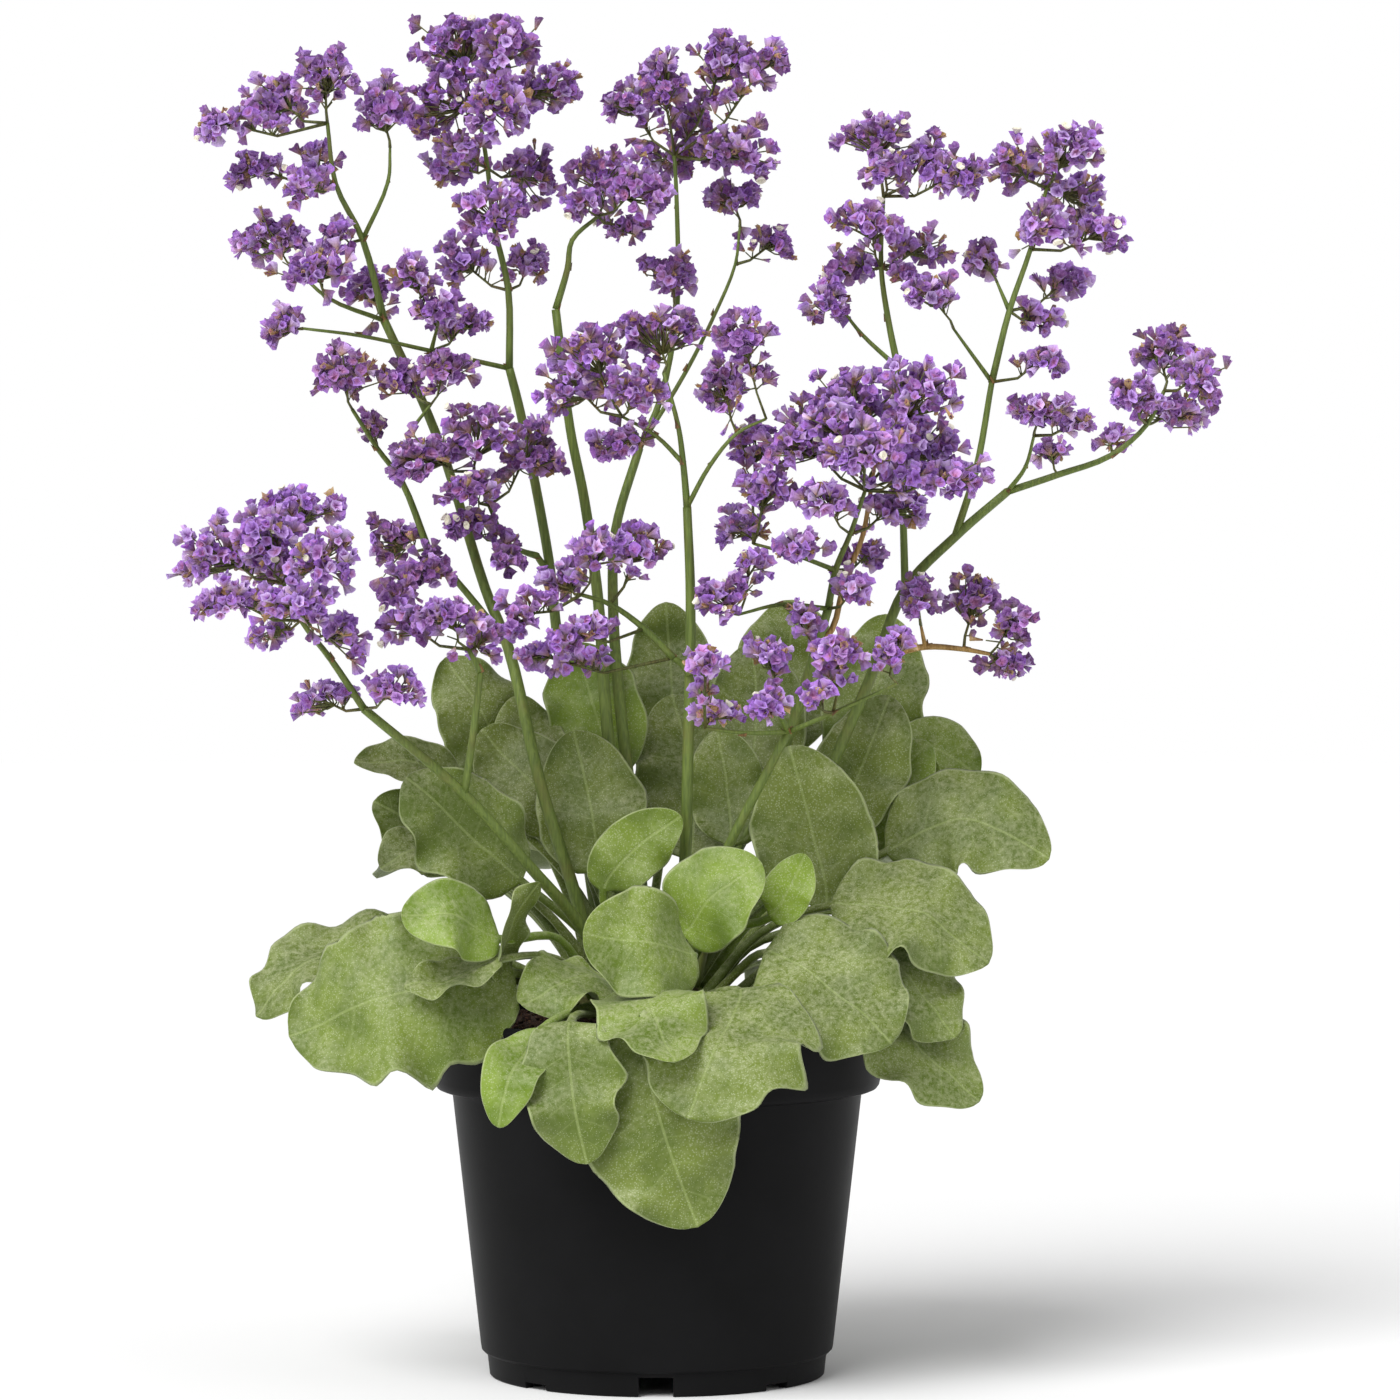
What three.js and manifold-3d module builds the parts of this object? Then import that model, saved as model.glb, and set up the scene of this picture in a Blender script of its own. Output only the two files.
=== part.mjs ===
// Potted statice: a rosette of broad leaves and tall branched flower stems in a round nursery pot.
// Millimetres, +Z up. The origin is on the pot's axis, on the plane the pot stands on. The front is -Y.

import * as THREE from 'three';
import { mergeVertices } from 'three/addons/utils/BufferGeometryUtils.js';
import Module from 'manifold-3d';

const wasm = await Module();
wasm.setup();

// Pot
const potHeight = 150;
const rimRadius = 95;
const rimRound = 1.5;
const collarHeight = 31;
const collarLipRadius = 91;
const collarLipRound = 3;
const collarTaper = 1.8;
const bodyTopRadius = 85.4;
const bodyFootRadius = 73.5;
const footHeight = 10;
const footRadius = 70;
const footRingWidth = 4;
const potWall = 1.8;
const wallRound = 2.5;
const floorTop = 10;
const floorUnderside = 7.5;
const padRadius = 15;
const mouldDraft = 1;
const notchLength = 20;
const wideNotch = 14;
const wideNotchHeight = 9;
const narrowNotch = 12;
const narrowNotchHeight = 2.5;
const potSegments = 32;
const innerSegments = 20;

// Soil and crown
const soilGap = 0.9;
const soilProfile = [[43, 148.2], [47, 150.4], [62, 149], [78, 145.5]];
const soilRimHeight = 141;
const soilRimSlack = 1.6;
const crownCentre = new THREE.Vector3(-4, 0, 0);
const crownRadius = 38;
const crownFoot = 149;
const crownRise = 14;
const crownEdge = 1;

// Leaves
const stalkHalfWidth = 1.9;
const stalkHalfDepth = 1.5;
const stalkFootSwell = 0.4;
const stalkFootLength = 0.25;
const stalkFade = 0.1;
const bladeHalfDepth = 0.5;
const tipHalfWidth = 0.8;
const widestAt = 0.75;
const outlineRoundness = 0.62;
const seatGap = 2.6;
const leafStations = [0, 0.16, 0.32, 0.46, 0.51, 0.57, 0.66, 0.76, 0.86, 0.94, 1];
const bladeStart = 0.5;

// Flower stems and panicles
const stemSeatGap = 2.6;
const stemDiameter = 5;
const sideStemDiameter = 3.6;
const trunkDiameter = 3;
const limbDiameter = 2.2;
const twigDiameter = 1.7;
const uphillCost = 1.5;
const stepsPerSpan = 1.5;

const finishes = {
  pot: { color: 0x1b1c1d, roughness: 0.42 },
  soil: { color: 0x33201a, roughness: 0.95 },
  crown: { color: 0x7d7a3c, roughness: 0.8 },
  leaf: { color: 0x6f8a4a, roughness: 0.6 },
  stem: { color: 0x6f7d3c, roughness: 0.6 },
  flowers: { color: 0x7550b4, roughness: 0.75 },
};

// Each leaf: where its stalk leaves the crown, a point of the stalk, the foot, middle and tip of the
// blade, the blade's width, the way its upper face looks, and how far its margins lift.
const leaves = [
  { seat: [-9, -33], stalk: [-9, -66, 157], base: [-9, -96, 153], mid: [3, -103, 112],
    tip: [16, -99, 73], width: 64, faces: [0.05, -1, 0.15], lift: -0.06 },
  { seat: [-18, -30], stalk: [-25, -64, 155], base: [-34, -96, 154], mid: [-33, -112, 128],
    tip: [-27, -109, 99], width: 39, faces: [-0.15, -1, 0.25], lift: -0.05 },
  { seat: [-5, -24.5], stalk: [-9, -46, 168], base: [-8, -70, 166], mid: [-1, -101, 159],
    tip: [8, -123, 141], width: 44, faces: [0.1, -0.6, 0.8], lift: 0.04 },
  { seat: [6, -31], stalk: [19, -52, 161], base: [34, -73, 165], mid: [25, -106, 147],
    tip: [13, -118, 118], width: 54, faces: [0, -0.75, 0.65], lift: -0.05 },
  { seat: [3, -22], stalk: [9, -38, 177], base: [15, -64, 182], mid: [-7, -85, 189],
    tip: [-29, -90, 192], width: 45, faces: [-0.1, -0.95, 0.35], lift: 0.08 },
  { seat: [2, -10], stalk: [6, -24, 178], base: [12, -41, 186], mid: [24, -52, 203],
    tip: [43, -55, 216], width: 42, faces: [0, -0.85, 0.5], lift: 0.1 },
  { seat: [-15.5, -21.6], stalk: [-19, -34, 168], base: [-21, -48, 168], mid: [-36, -66, 168],
    tip: [-54, -78, 160], width: 31, faces: [0.1, -0.65, 0.7], lift: 0.1 },
  { seat: [-31, -19], stalk: [-43, -38, 168], base: [-58, -61, 171], mid: [-105, -74, 163],
    tip: [-149, -62, 146], width: 69, faces: [-0.12, -0.95, 0.35], lift: -0.08 },
  { seat: [-25, -13], stalk: [-40, -40, 184], base: [-64, -70, 186], mid: [-83, -84, 196],
    tip: [-102, -88, 197], width: 32, faces: [0, -0.9, 0.45], lift: 0.1 },
  { seat: [-12, -4], stalk: [-32, -15, 186], base: [-56, -27, 207], mid: [-80, -33, 229],
    tip: [-103, -36, 250], width: 46, faces: [0.1, -0.9, 0.4], lift: 0.12 },
  { seat: [-12, 4], stalk: [-39, 14, 208], base: [-78, 8, 242], mid: [-102, 3, 255],
    tip: [-126, -4, 255], width: 24, faces: [0, -0.7, 0.7], lift: 0.1 },
  { seat: [-28, -3.4], stalk: [-48, 4, 190], base: [-76, 10, 213], mid: [-98, 13, 226],
    tip: [-119, 11, 238], width: 34, faces: [0, -0.9, 0.4], lift: 0.1 },
  { seat: [-6, 3], stalk: [-13, 0, 184], base: [-23, 0, 209], mid: [-28, 3, 238],
    tip: [-35, 8, 268], width: 46, faces: [0, -0.97, 0.2], lift: 0.05 },
  { seat: [-8, -9], stalk: [-16, -15, 184], base: [-22, -23, 203], mid: [-8, -26, 221],
    tip: [10, -29, 234], width: 28, faces: [0.1, -0.95, 0.2], lift: 0.1 },
  { seat: [1, 8], stalk: [7, 14, 188], base: [14, 22, 213], mid: [14, 38, 250],
    tip: [6, 52, 282], width: 46, faces: [0, -0.9, 0.4], lift: 0.08 },
  { seat: [-20, 19], stalk: [-18, 24, 204], base: [-19, 32, 248], mid: [-28, 37, 280],
    tip: [-35, 38, 304], width: 40, faces: [-0.05, -0.95, 0.25], lift: 0.08 },
  { seat: [-26, 10], stalk: [-36, 18, 194], base: [-54, 29, 232], mid: [-72, 38, 268],
    tip: [-90, 44, 298], width: 40, faces: [0.2, -0.9, 0.3], lift: 0.08 },
  { seat: [20, -4], stalk: [38, -6, 178], base: [69, -10, 193], mid: [64, -9, 228],
    tip: [55, -4, 262], width: 50, faces: [-0.1, -0.95, 0.2], lift: 0.06 },
  { seat: [20, 5], stalk: [52, 6, 196], base: [96, 8, 217], mid: [128, 0, 231],
    tip: [163, -8, 215], width: 50, faces: [0, -0.85, 0.5], lift: -0.06 },
  { seat: [17, -12.6], stalk: [42, -17, 184], base: [72, -30, 197], mid: [105, -39, 195],
    tip: [136, -44, 174], width: 47, faces: [0.15, -0.75, 0.65], lift: 0.05 },
  { seat: [17, -25], stalk: [31, -37, 168], base: [45, -49, 179], mid: [72, -69, 165],
    tip: [95, -79, 144], width: 56, faces: [0.15, -0.82, 0.55], lift: -0.04 },
  { seat: [28, -7.4], stalk: [54, -18, 170], base: [85, -31, 178], mid: [108, -44, 162],
    tip: [122, -49, 144], width: 40, faces: [0.4, -0.75, 0.55], lift: 0.05 },
  { seat: [24, -17.5], stalk: [54, -29, 158], base: [84, -39, 160], mid: [109, -48, 139],
    tip: [132, -50, 118], width: 49, faces: [0.4, -0.7, 0.6], lift: 0.04 },
  { seat: [16, 13.7], stalk: [42, 20, 190], base: [78, 28, 214], mid: [94, 34, 240],
    tip: [115, 38, 262], width: 38, faces: [-0.1, -0.9, 0.4], lift: 0.08 },
  { seat: [9, 20.5], stalk: [44, 38, 202], base: [84, 60, 242], mid: [94, 70, 282],
    tip: [98, 76, 316], width: 44, faces: [-0.15, -0.9, 0.35], lift: 0.08 },
  { seat: [1, 24], stalk: [28, 44, 208], base: [50, 72, 256], mid: [56, 84, 294],
    tip: [58, 90, 322], width: 46, faces: [0, -0.9, 0.4], lift: 0.08 },
  { seat: [-8, 24], stalk: [0, 50, 206], base: [6, 80, 258], mid: [5, 92, 294],
    tip: [3, 96, 321], width: 36, faces: [0, -0.9, 0.4], lift: 0.08 },
  { seat: [19, 23], stalk: [34, 46, 164], base: [50, 72, 166], mid: [67, 98, 156],
    tip: [76, 116, 126], width: 54, faces: [0.4, 0.7, 0.6], lift: -0.06 },
  { seat: [-4, 33], stalk: [-5, 58, 164], base: [-6, 84, 167], mid: [-8, 112, 152],
    tip: [-10, 126, 118], width: 58, faces: [0, 0.75, 0.65], lift: -0.06 },
  { seat: [-24, 26], stalk: [-38, 46, 159], base: [-52, 68, 162], mid: [-76, 94, 156],
    tip: [-94, 106, 130], width: 52, faces: [-0.4, 0.65, 0.65], lift: -0.06 },
  { seat: [-36, 8.5], stalk: [-60, 16, 168], base: [-87, 24, 176], mid: [-118, 34, 168],
    tip: [-142, 40, 148], width: 48, faces: [-0.5, 0.35, 0.8], lift: 0.05 },
  { seat: [28, 7], stalk: [52, 18, 164], base: [78, 30, 170], mid: [101, 39, 166],
    tip: [119, 46, 150], width: 42, faces: [0.5, 0.35, 0.8], lift: 0.05 },
];

// Each flower stem: its runs, the first one starting on the crown. Later runs are side stems.
const stems = [
  { seat: [-18, -12], runs: [
    [[-30, -23, 186], [-52, -42, 214], [-78, -54, 244], [-116, -67, 277]],
    [[-78, -54, 244], [-74, -61, 270], [-71, -63, 291]]] },
  { seat: [-22, -1], runs: [
    [[-33, -8, 197], [-48, -9, 245], [-62, 6, 302], [-72, 14, 327], [-93, 24, 392], [-113, 28, 437]],
    [[-63, 7, 305], [-81, 12, 327], [-94, 14, 341]]] },
  { seat: [-20, 9], runs: [
    [[-27, 28, 198], [-34, 46, 245], [-38, 49, 280], [-43, 44, 310], [-46, 38, 339], [-58, 34, 402],
      [-62, 32, 417]]] },
  { seat: [4, 0], runs: [
    [[11, -12, 205], [13, -20, 262], [14, -26, 323], [13, -28, 358]]] },
  { seat: [-3, 18], runs: [
    [[-7, 17, 205], [-16, 27, 280], [-19, 41, 322], [-18, 50, 352], [-9, 56, 384]]] },
  { seat: [10, -15], runs: [
    [[19, -23, 195], [29, -31, 220], [53, -44, 266]]] },
  { seat: [14, -2], runs: [
    [[27, 6, 205], [45, 9, 240], [58, 2, 275], [66, -8, 302], [70, -11, 316]]] },
  { seat: [12, 7], runs: [
    [[34, 10, 195], [60, 12, 228], [89, 15, 289], [104, 18, 327], [125, 19, 349], [144, 20, 366]],
    [[104, 18, 327], [103, 20, 364], [101, 22, 417]],
    [[125, 19, 349], [134, 20, 378], [140, 22, 411]]] },
  { seat: [-12, 16], runs: [
    [[-15, 13, 205], [-22, 19, 280], [-25, 28, 322], [-31, 33, 365], [-37, 35, 395], [-43, 34, 442]]] },
];

// Each panicle: its branch lines, then its tufts of flowers, each with a centre and three half sizes.
const panicles = [
  { branches: [
    [[-118, -67.5, 279], [-131, -72, 299], [-143, -74, 315], [-150, -75, 330]],
    [[-131, -72, 299], [-138, -86, 309]]],
  tufts: [[-178, -70, 341, 17, 16, 16], [-155, -88, 347, 17, 16, 17], [-131, -100, 339, 16, 15, 15],
    [-144, -52, 361, 18, 16, 10], [-171, -96, 323, 17, 14, 10], [-142, -112, 322, 16, 13, 11],
    [-125, -86, 309, 10, 12, 13], [-156, -62, 309, 10, 10, 7], [-137, -60, 281, 11, 11, 10],
    [-104, -88, 287, 12, 11, 10], [-157, -48, 335, 14, 12, 12]] },
  { branches: [
    [[-71, -63, 294], [-76, -63, 303]]],
  tufts: [[-103, -52, 313, 11, 11, 10], [-84, -72, 317, 15, 12, 9], [-70, -50, 305, 9, 10, 11]] },
  { branches: [
    [[-115, 28, 440], [-124, 27, 474], [-135, 22, 497], [-138, 16, 522]],
    [[-124, 27, 474], [-113, 22, 498], [-112, 19, 512]],
    [[-115, 28, 440], [-138, 14, 449], [-152, 16, 462]]],
  tufts: [[-183, 4, 520, 10, 10, 9], [-161, 34, 532, 14, 14, 14], [-138, -1, 540, 14, 14, 14],
    [-169, 24, 503, 13, 11, 9], [-149, -2, 493, 8, 9, 9], [-146, 42, 511, 8, 9, 6],
    [-115, 18, 528, 13, 12, 17], [-163, 30, 474, 19, 14, 12], [-142, -8, 460, 18, 14, 12],
    [-122, 38, 454, 11, 10, 10]] },
  { branches: [
    [[-96, 14, 344], [-107, 15, 372], [-117, 9, 386], [-127, 3, 402]],
    [[-107, 15, 372], [-103, 8, 392], [-94, 0, 404]]],
  tufts: [[-130, -12, 416, 15, 14, 12], [-108, 8, 413, 11, 12, 11], [-87, -14, 419, 15, 13, 9],
    [-120, 16, 396, 7, 8, 7], [-112, 26, 345, 12, 12, 14], [-93, -14, 334, 12, 12, 9],
    [-107, -24, 325, 10, 10, 7]] },
  { branches: [
    [[-62.5, 32, 420], [-63, 34, 453], [-69, 38, 480], [-72, 42, 505], [-76, 44, 530]],
    [[-62.5, 32, 420], [-95, 22, 427], [-124, 13, 433], [-148, 12, 436]],
    [[-95, 22, 427], [-92, 14, 437]]],
  tufts: [[-86, 62, 559, 19, 18, 16], [-62, 34, 556, 14, 14, 14], [-45, 58, 540, 14, 14, 16],
    [-91, 52, 531, 17, 15, 18], [-67, 18, 527, 17, 16, 16], [-88, 60, 506, 13, 13, 10],
    [-68, 22, 485, 16, 14, 14], [-52, 60, 502, 11, 12, 14], [-84, 52, 465, 11, 12, 13],
    [-54, 60, 466, 9, 10, 9], [-102, 3, 458, 10, 11, 10], [-91, 2, 443, 12, 10, 9],
    [-79, 34, 440, 11, 10, 7], [-156, 14, 437, 8, 8, 11]] },
  { branches: [
    [[-43, 34, 445], [-38, 33, 462], [-36, 32, 474], [-25, 30, 484]]],
  tufts: [[-24, 38, 503, 14, 13, 11], [-7, 12, 494, 14, 13, 15], [-33, 14, 488, 8, 9, 7],
    [-14, 42, 479, 13, 10, 8]] },
  { branches: [
    [[-8, 57, 387], [1, 62, 408], [8, 64, 446], [8, 65, 490], [7, 66, 512]],
    [[-8, 57, 387], [12, 65, 420], [24, 70, 444], [33, 73, 466], [35, 72, 482]]],
  tufts: [[-14, 86, 536, 13, 13, 11], [2, 56, 541, 12, 13, 17], [15, 90, 528, 9, 11, 10],
    [30, 74, 554, 16, 15, 15], [48, 54, 552, 10, 11, 9], [5, 80, 511, 13, 12, 9],
    [35, 56, 513, 15, 14, 13], [32, 88, 496, 15, 12, 9], [51, 84, 476, 8, 10, 10],
    [6, 46, 460, 13, 12, 11]] },
  { branches: [
    [[12.6, -28.5, 361], [11, -31, 379], [9, -32, 394], [3, -34, 416]],
    [[11, -31, 379], [0, -34, 390], [-14, -34, 398]],
    [[12.6, -28.5, 361], [22, -36, 378], [33, -40, 391], [45, -39, 397]]],
  tufts: [[-27, -48, 424, 18, 16, 13], [2, -22, 433, 20, 17, 12], [35, -50, 430, 14, 14, 12],
    [-36, -18, 410, 14, 14, 15], [-8, -58, 408, 16, 14, 12], [27, -26, 412, 12, 12, 14],
    [-14, -30, 388, 13, 12, 9]] },
  { branches: [
    [[7, -27.5, 299], [-5, -28, 311], [-19, -28, 321], [-31, -29, 325]]],
  tufts: [[-24, -46, 343, 13, 12, 11], [-7, -22, 345, 12, 11, 10], [-39, -16, 329, 10, 11, 12],
    [-35, -48, 307, 11, 11, 9], [-56, -38, 315, 10, 10, 11], [-51, -16, 299, 11, 10, 7]] },
  { branches: [
    [[54, -44.6, 269], [49, -55, 279]],
    [[54, -44.6, 269], [36, -56, 269], [20, -61, 271]],
    [[54, -44.6, 269], [72, -54, 277], [98, -57, 289]]],
  tufts: [[20, -78, 298, 12, 12, 11], [46, -48, 301, 12, 12, 10], [74, -70, 302, 15, 13, 11],
    [95, -46, 302, 10, 11, 13], [24, -50, 277, 12, 10, 8], [44, -80, 280, 10, 10, 7],
    [62, -74, 284, 8, 9, 7]] },
  { branches: [
    [[71, -11.5, 319], [74, -14, 335], [80, -18, 350], [86, -24, 368]],
    [[71, -11.5, 319], [52, -24, 321], [34, -38, 317]],
    [[74, -14, 335], [58, -20, 341], [40, -16, 346]]],
  tufts: [[59, -36, 388, 16, 15, 17], [80, -14, 405, 20, 17, 15], [108, -38, 407, 18, 16, 14],
    [85, -58, 384, 20, 15, 14], [112, -10, 386, 17, 14, 16], [41, 2, 388, 15, 13, 12],
    [122, -36, 373, 16, 13, 10], [100, -8, 362, 16, 12, 10], [45, -30, 368, 15, 12, 9],
    [68, -42, 364, 13, 12, 10], [25, -46, 322, 12, 11, 12], [35, -2, 353, 11, 11, 9],
    [39, -36, 338, 9, 9, 7], [59, -38, 345, 11, 10, 7], [62, -30, 313, 7, 8, 9],
    [82, -34, 327, 8, 8, 8], [89, 2, 341, 7, 7, 9]] },
  { branches: [
    [[101, 22, 420], [97, 23, 440], [94, 23, 462], [95, 24, 492]],
    [[101, 22, 420], [86, 24, 434], [78, 24, 444]]],
  tufts: [[93, 38, 518, 17, 15, 11], [96, 10, 503, 11, 12, 10], [115, 42, 509, 9, 10, 12],
    [127, 12, 499, 14, 13, 12], [88, 8, 480, 16, 14, 11], [112, 40, 471, 14, 12, 9],
    [80, 36, 463, 13, 12, 10], [71, 12, 446, 11, 11, 10]] },
  { branches: [
    [[140.5, 22.3, 414], [148, 26, 444], [157, 28, 470], [164, 31, 496]],
    [[140.5, 22.3, 414], [124, 14, 436]],
    [[148, 26, 444], [143, 28, 456]]],
  tufts: [[172, 20, 511, 16, 15, 13], [152, 50, 505, 10, 12, 12], [178, 46, 492, 14, 14, 14],
    [187, 18, 475, 10, 10, 10], [162, 12, 479, 13, 12, 10], [175, 46, 458, 9, 10, 8],
    [161, 42, 440, 10, 10, 8], [163, 12, 423, 9, 9, 7], [138, 40, 466, 10, 10, 10],
    [114, 2, 450, 13, 12, 10]] },
  { branches: [
    [[147, 20, 368], [168, 18, 375], [190, 15, 383], [205, 13, 396], [212, 11, 410]],
    [[147, 20, 368], [154, 12, 378], [157, 2, 391]]],
  tufts: [[212, 24, 427, 15, 14, 12], [226, -4, 414, 11, 12, 15], [198, -4, 408, 13, 13, 10],
    [218, 24, 401, 15, 13, 10], [191, 28, 390, 7, 8, 6], [159, -8, 401, 15, 13, 8],
    [176, -4, 396, 8, 9, 7], [165, 27, 385, 9, 9, 7]] },
  { branches: [
    [[98, 9, 300], [112, 7, 303], [128, 5, 302], [139, 4, 300]],
    [[112, 7, 303], [110, 3, 312]]],
  tufts: [[108, -12, 323, 9, 9, 12], [133, 14, 323, 13, 11, 14], [147, -9, 312, 8, 9, 11],
    [145, 10, 296, 11, 10, 7]] },
  { branches: [
    [[-51, 34, 341], [-57, 24, 343], [-64, 12, 347]],
    [[-64, 12, 347], [-70, 2, 362], [-76, -4, 376]]],
  tufts: [[-98, -8, 381, 15, 13, 14], [-73, -12, 391, 17, 15, 14], [-52, 13, 384, 14, 13, 15],
    [-78, -18, 369, 16, 12, 8], [-80, -7, 354, 12, 9, 9], [-62, -8, 339, 9, 9, 8]] },
];

const point = (place) => new THREE.Vector3(...place);

// A closed mesh as a solid that can be joined and cut.
function solidOf(geometry) {
  const bare = geometry.clone();
  bare.deleteAttribute('normal');
  bare.deleteAttribute('uv');
  const merged = mergeVertices(bare, 1e-4);
  const corners = [];
  const index = merged.index.array;
  for (let i = 0; i < index.length; i += 3) {
    const [a, b, c] = [index[i], index[i + 1], index[i + 2]];
    if (a !== b && b !== c && c !== a) corners.push(a, b, c);
  }
  return new wasm.Manifold(new wasm.Mesh({
    numProp: 3,
    vertProperties: new Float32Array(merged.attributes.position.array),
    triVerts: new Uint32Array(corners),
  }));
}

function geometryOf(solid) {
  const mesh = solid.getMesh();
  const geometry = new THREE.BufferGeometry();
  geometry.setAttribute('position', new THREE.BufferAttribute(mesh.vertProperties, 3));
  geometry.setIndex(new THREE.BufferAttribute(mesh.triVerts, 1));
  geometry.computeVertexNormals();
  return geometry;
}

// Turns a profile of radii and heights round the upright axis.
function turned(profile, segments) {
  const lathe = new THREE.LatheGeometry(
    profile.map(([radius, height]) => new THREE.Vector2(radius, height)), segments);
  return lathe.rotateX(Math.PI / 2);
}

function joined(solids) {
  return solids.reduce((whole, solid) => whole.add(solid));
}

// A round tube with closed ends along a smooth line through the given points.
function tube(points, diameter, sides = 6) {
  const section = new THREE.Shape();
  for (let i = 0; i < sides; i += 1) {
    const turn = (i / sides) * 2 * Math.PI;
    const corner = [Math.cos(turn) * diameter / 2, Math.sin(turn) * diameter / 2];
    if (i === 0) section.moveTo(...corner);
    else section.lineTo(...corner);
  }
  section.closePath();
  const line = points.length === 2
    ? new THREE.LineCurve3(points[0], points[1])
    : new THREE.CatmullRomCurve3(points, false, 'centripetal');
  const steps = points.length === 2 ? 1 : Math.max(2, Math.round(stepsPerSpan * (points.length - 1)));
  return new THREE.ExtrudeGeometry(section, { steps, bevelEnabled: false, extrudePath: line });
}

function potGeometry() {
  const lipHeight = potHeight - collarHeight;
  const innerTop = rimRadius - potWall;
  const innerBodyTop = bodyTopRadius - potWall;
  const innerFoot = bodyFootRadius - potWall;
  const profile = [
    [0, 0], [padRadius, 0], [padRadius + mouldDraft, floorUnderside],
    [footRadius - footRingWidth - mouldDraft, floorUnderside], [footRadius - footRingWidth, 0],
    [footRadius, 0], [footRadius + mouldDraft, footHeight - mouldDraft],
    [bodyFootRadius - mouldDraft, footHeight], [bodyFootRadius, footHeight + wallRound],
    [bodyTopRadius, lipHeight - rimRound], [bodyTopRadius + mouldDraft, lipHeight],
    [collarLipRadius, lipHeight], [collarLipRadius + collarLipRound * 0.7, lipHeight + collarLipRound],
    [rimRadius, potHeight - rimRound], [rimRadius - rimRound / 2, potHeight],
    [innerTop - rimRound / 4, potHeight - rimRound / 2],
    [innerTop - collarTaper, lipHeight + wallRound * 2],
    [innerBodyTop + rimRound, lipHeight + rimRound], [innerBodyTop, lipHeight - rimRound],
    [innerFoot, floorTop + wallRound], [innerFoot - wallRound, floorTop], [0, floorTop],
  ];
  let pot = solidOf(turned(profile, potSegments));
  for (let i = 0; i < 8; i += 1) {
    const wide = i % 2 === 0;
    const height = wide ? wideNotchHeight : narrowNotchHeight;
    const notch = new THREE.BoxGeometry(notchLength, wide ? wideNotch : narrowNotch, 2 * height);
    notch.translate(footRadius - footRingWidth / 2, 0, 0);
    notch.rotateZ(-Math.PI / 2 + (i * Math.PI) / 4);
    pot = pot.subtract(solidOf(notch));
  }
  return geometryOf(pot);
}

// The soil fills the pot from wall to wall and stands a little above the low ring along the wall.
function soilGeometry() {
  const lipHeight = potHeight - collarHeight;
  const footTop = footHeight + wallRound;
  const bodyTop = lipHeight - rimRound;
  const wallAt = (height) => {
    const share = (height - footTop) / (bodyTop - footTop);
    return bodyFootRadius + share * (bodyTopRadius - bodyFootRadius) - potWall - soilGap;
  };
  const collarInside = rimRadius - potWall - collarTaper - soilGap;
  const profile = [
    [0, floorTop + soilGap], [bodyFootRadius - potWall - wallRound - soilGap, floorTop + soilGap],
    [wallAt(footTop + soilGap), footTop + soilGap], [wallAt(bodyTop), bodyTop],
    [bodyTopRadius - potWall + soilGap, lipHeight + 2 * rimRound],
    [collarInside - soilRimSlack, lipHeight + 2 * wallRound + 2 * rimRound],
    [collarInside - soilGap, soilRimHeight],
    ...[...soilProfile].reverse(), [0, soilProfile[0][1]],
  ];
  return geometryOf(solidOf(turned(profile, innerSegments)));
}

function crownHeight(x, y) {
  const away = Math.hypot(x - crownCentre.x, y - crownCentre.y) / crownRadius;
  return crownFoot + crownEdge + crownRise * (1 - away * away);
}

function crownGeometry() {
  const profile = [[0, crownFoot], [crownRadius, crownFoot]];
  for (const share of [1, 0.85, 0.65, 0.4, 0]) {
    const radius = share * crownRadius;
    profile.push([radius, crownHeight(crownCentre.x + radius, crownCentre.y)]);
  }
  return geometryOf(solidOf(turned(profile, innerSegments)));
}

// Half the width and half the depth of a leaf's section, u running from the blade's foot to its tip.
function leafSection(station, u, width) {
  const stalkShare = Math.max(0, 1 - u / stalkFade);
  const footSwell = 1 + stalkFootSwell * Math.max(0, 1 - station / stalkFootLength);
  const blade = (width / 2) * Math.sin(Math.PI * u ** widestAt) ** outlineRoundness;
  return {
    halfWidth: Math.max(stalkHalfWidth * footSwell * stalkShare, u < 1 ? blade : 0, tipHalfWidth),
    halfDepth: bladeHalfDepth + (stalkHalfDepth - bladeHalfDepth) * stalkShare,
  };
}

// A leaf starts as a closed cylinder. Each of its rings is moved to its place along the spine and
// given the stalk's oval section or the blade's thin wide one.
function leafGeometry(leaf, seat) {
  const spine = new THREE.CatmullRomCurve3(
    [seat, point(leaf.stalk), point(leaf.base), point(leaf.mid), point(leaf.tip)], false, 'centripetal');
  const faces = point(leaf.faces).normalize();
  const rows = leafStations.length - 1;
  const geometry = new THREE.CylinderGeometry(1, 1, 1, 8, rows);
  const corners = geometry.attributes.position;
  for (let i = 0; i < corners.count; i += 1) {
    const station = leafStations[Math.round((0.5 - corners.getY(i)) * rows)];
    const along = spine.getTangent(station);
    const side = along.clone().cross(faces).normalize();
    const up = side.clone().cross(along).normalize();
    const u = Math.max(0, (station - bladeStart) / (1 - bladeStart));
    const { halfWidth, halfDepth } = leafSection(station, u, leaf.width);
    const across = corners.getX(i);
    const lifted = leaf.lift * 4 * u * (1 - u) * halfWidth * across * across;
    const corner = spine.getPoint(station)
      .addScaledVector(side, -across * halfWidth)
      .addScaledVector(up, corners.getZ(i) * halfDepth + lifted);
    corners.setXYZ(i, corner.x - seat.x, corner.y - seat.y, corner.z - seat.z);
  }
  return geometry;
}

function stemGeometry(stem, seat) {
  const tubes = stem.runs.map((run, i) => {
    const points = run.map(point);
    return tube(i === 0 ? [seat, ...points] : points, i === 0 ? stemDiameter : sideStemDiameter);
  });
  return geometryOf(joined(tubes.map(solidOf))).translate(-seat.x, -seat.y, -seat.z);
}

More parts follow.
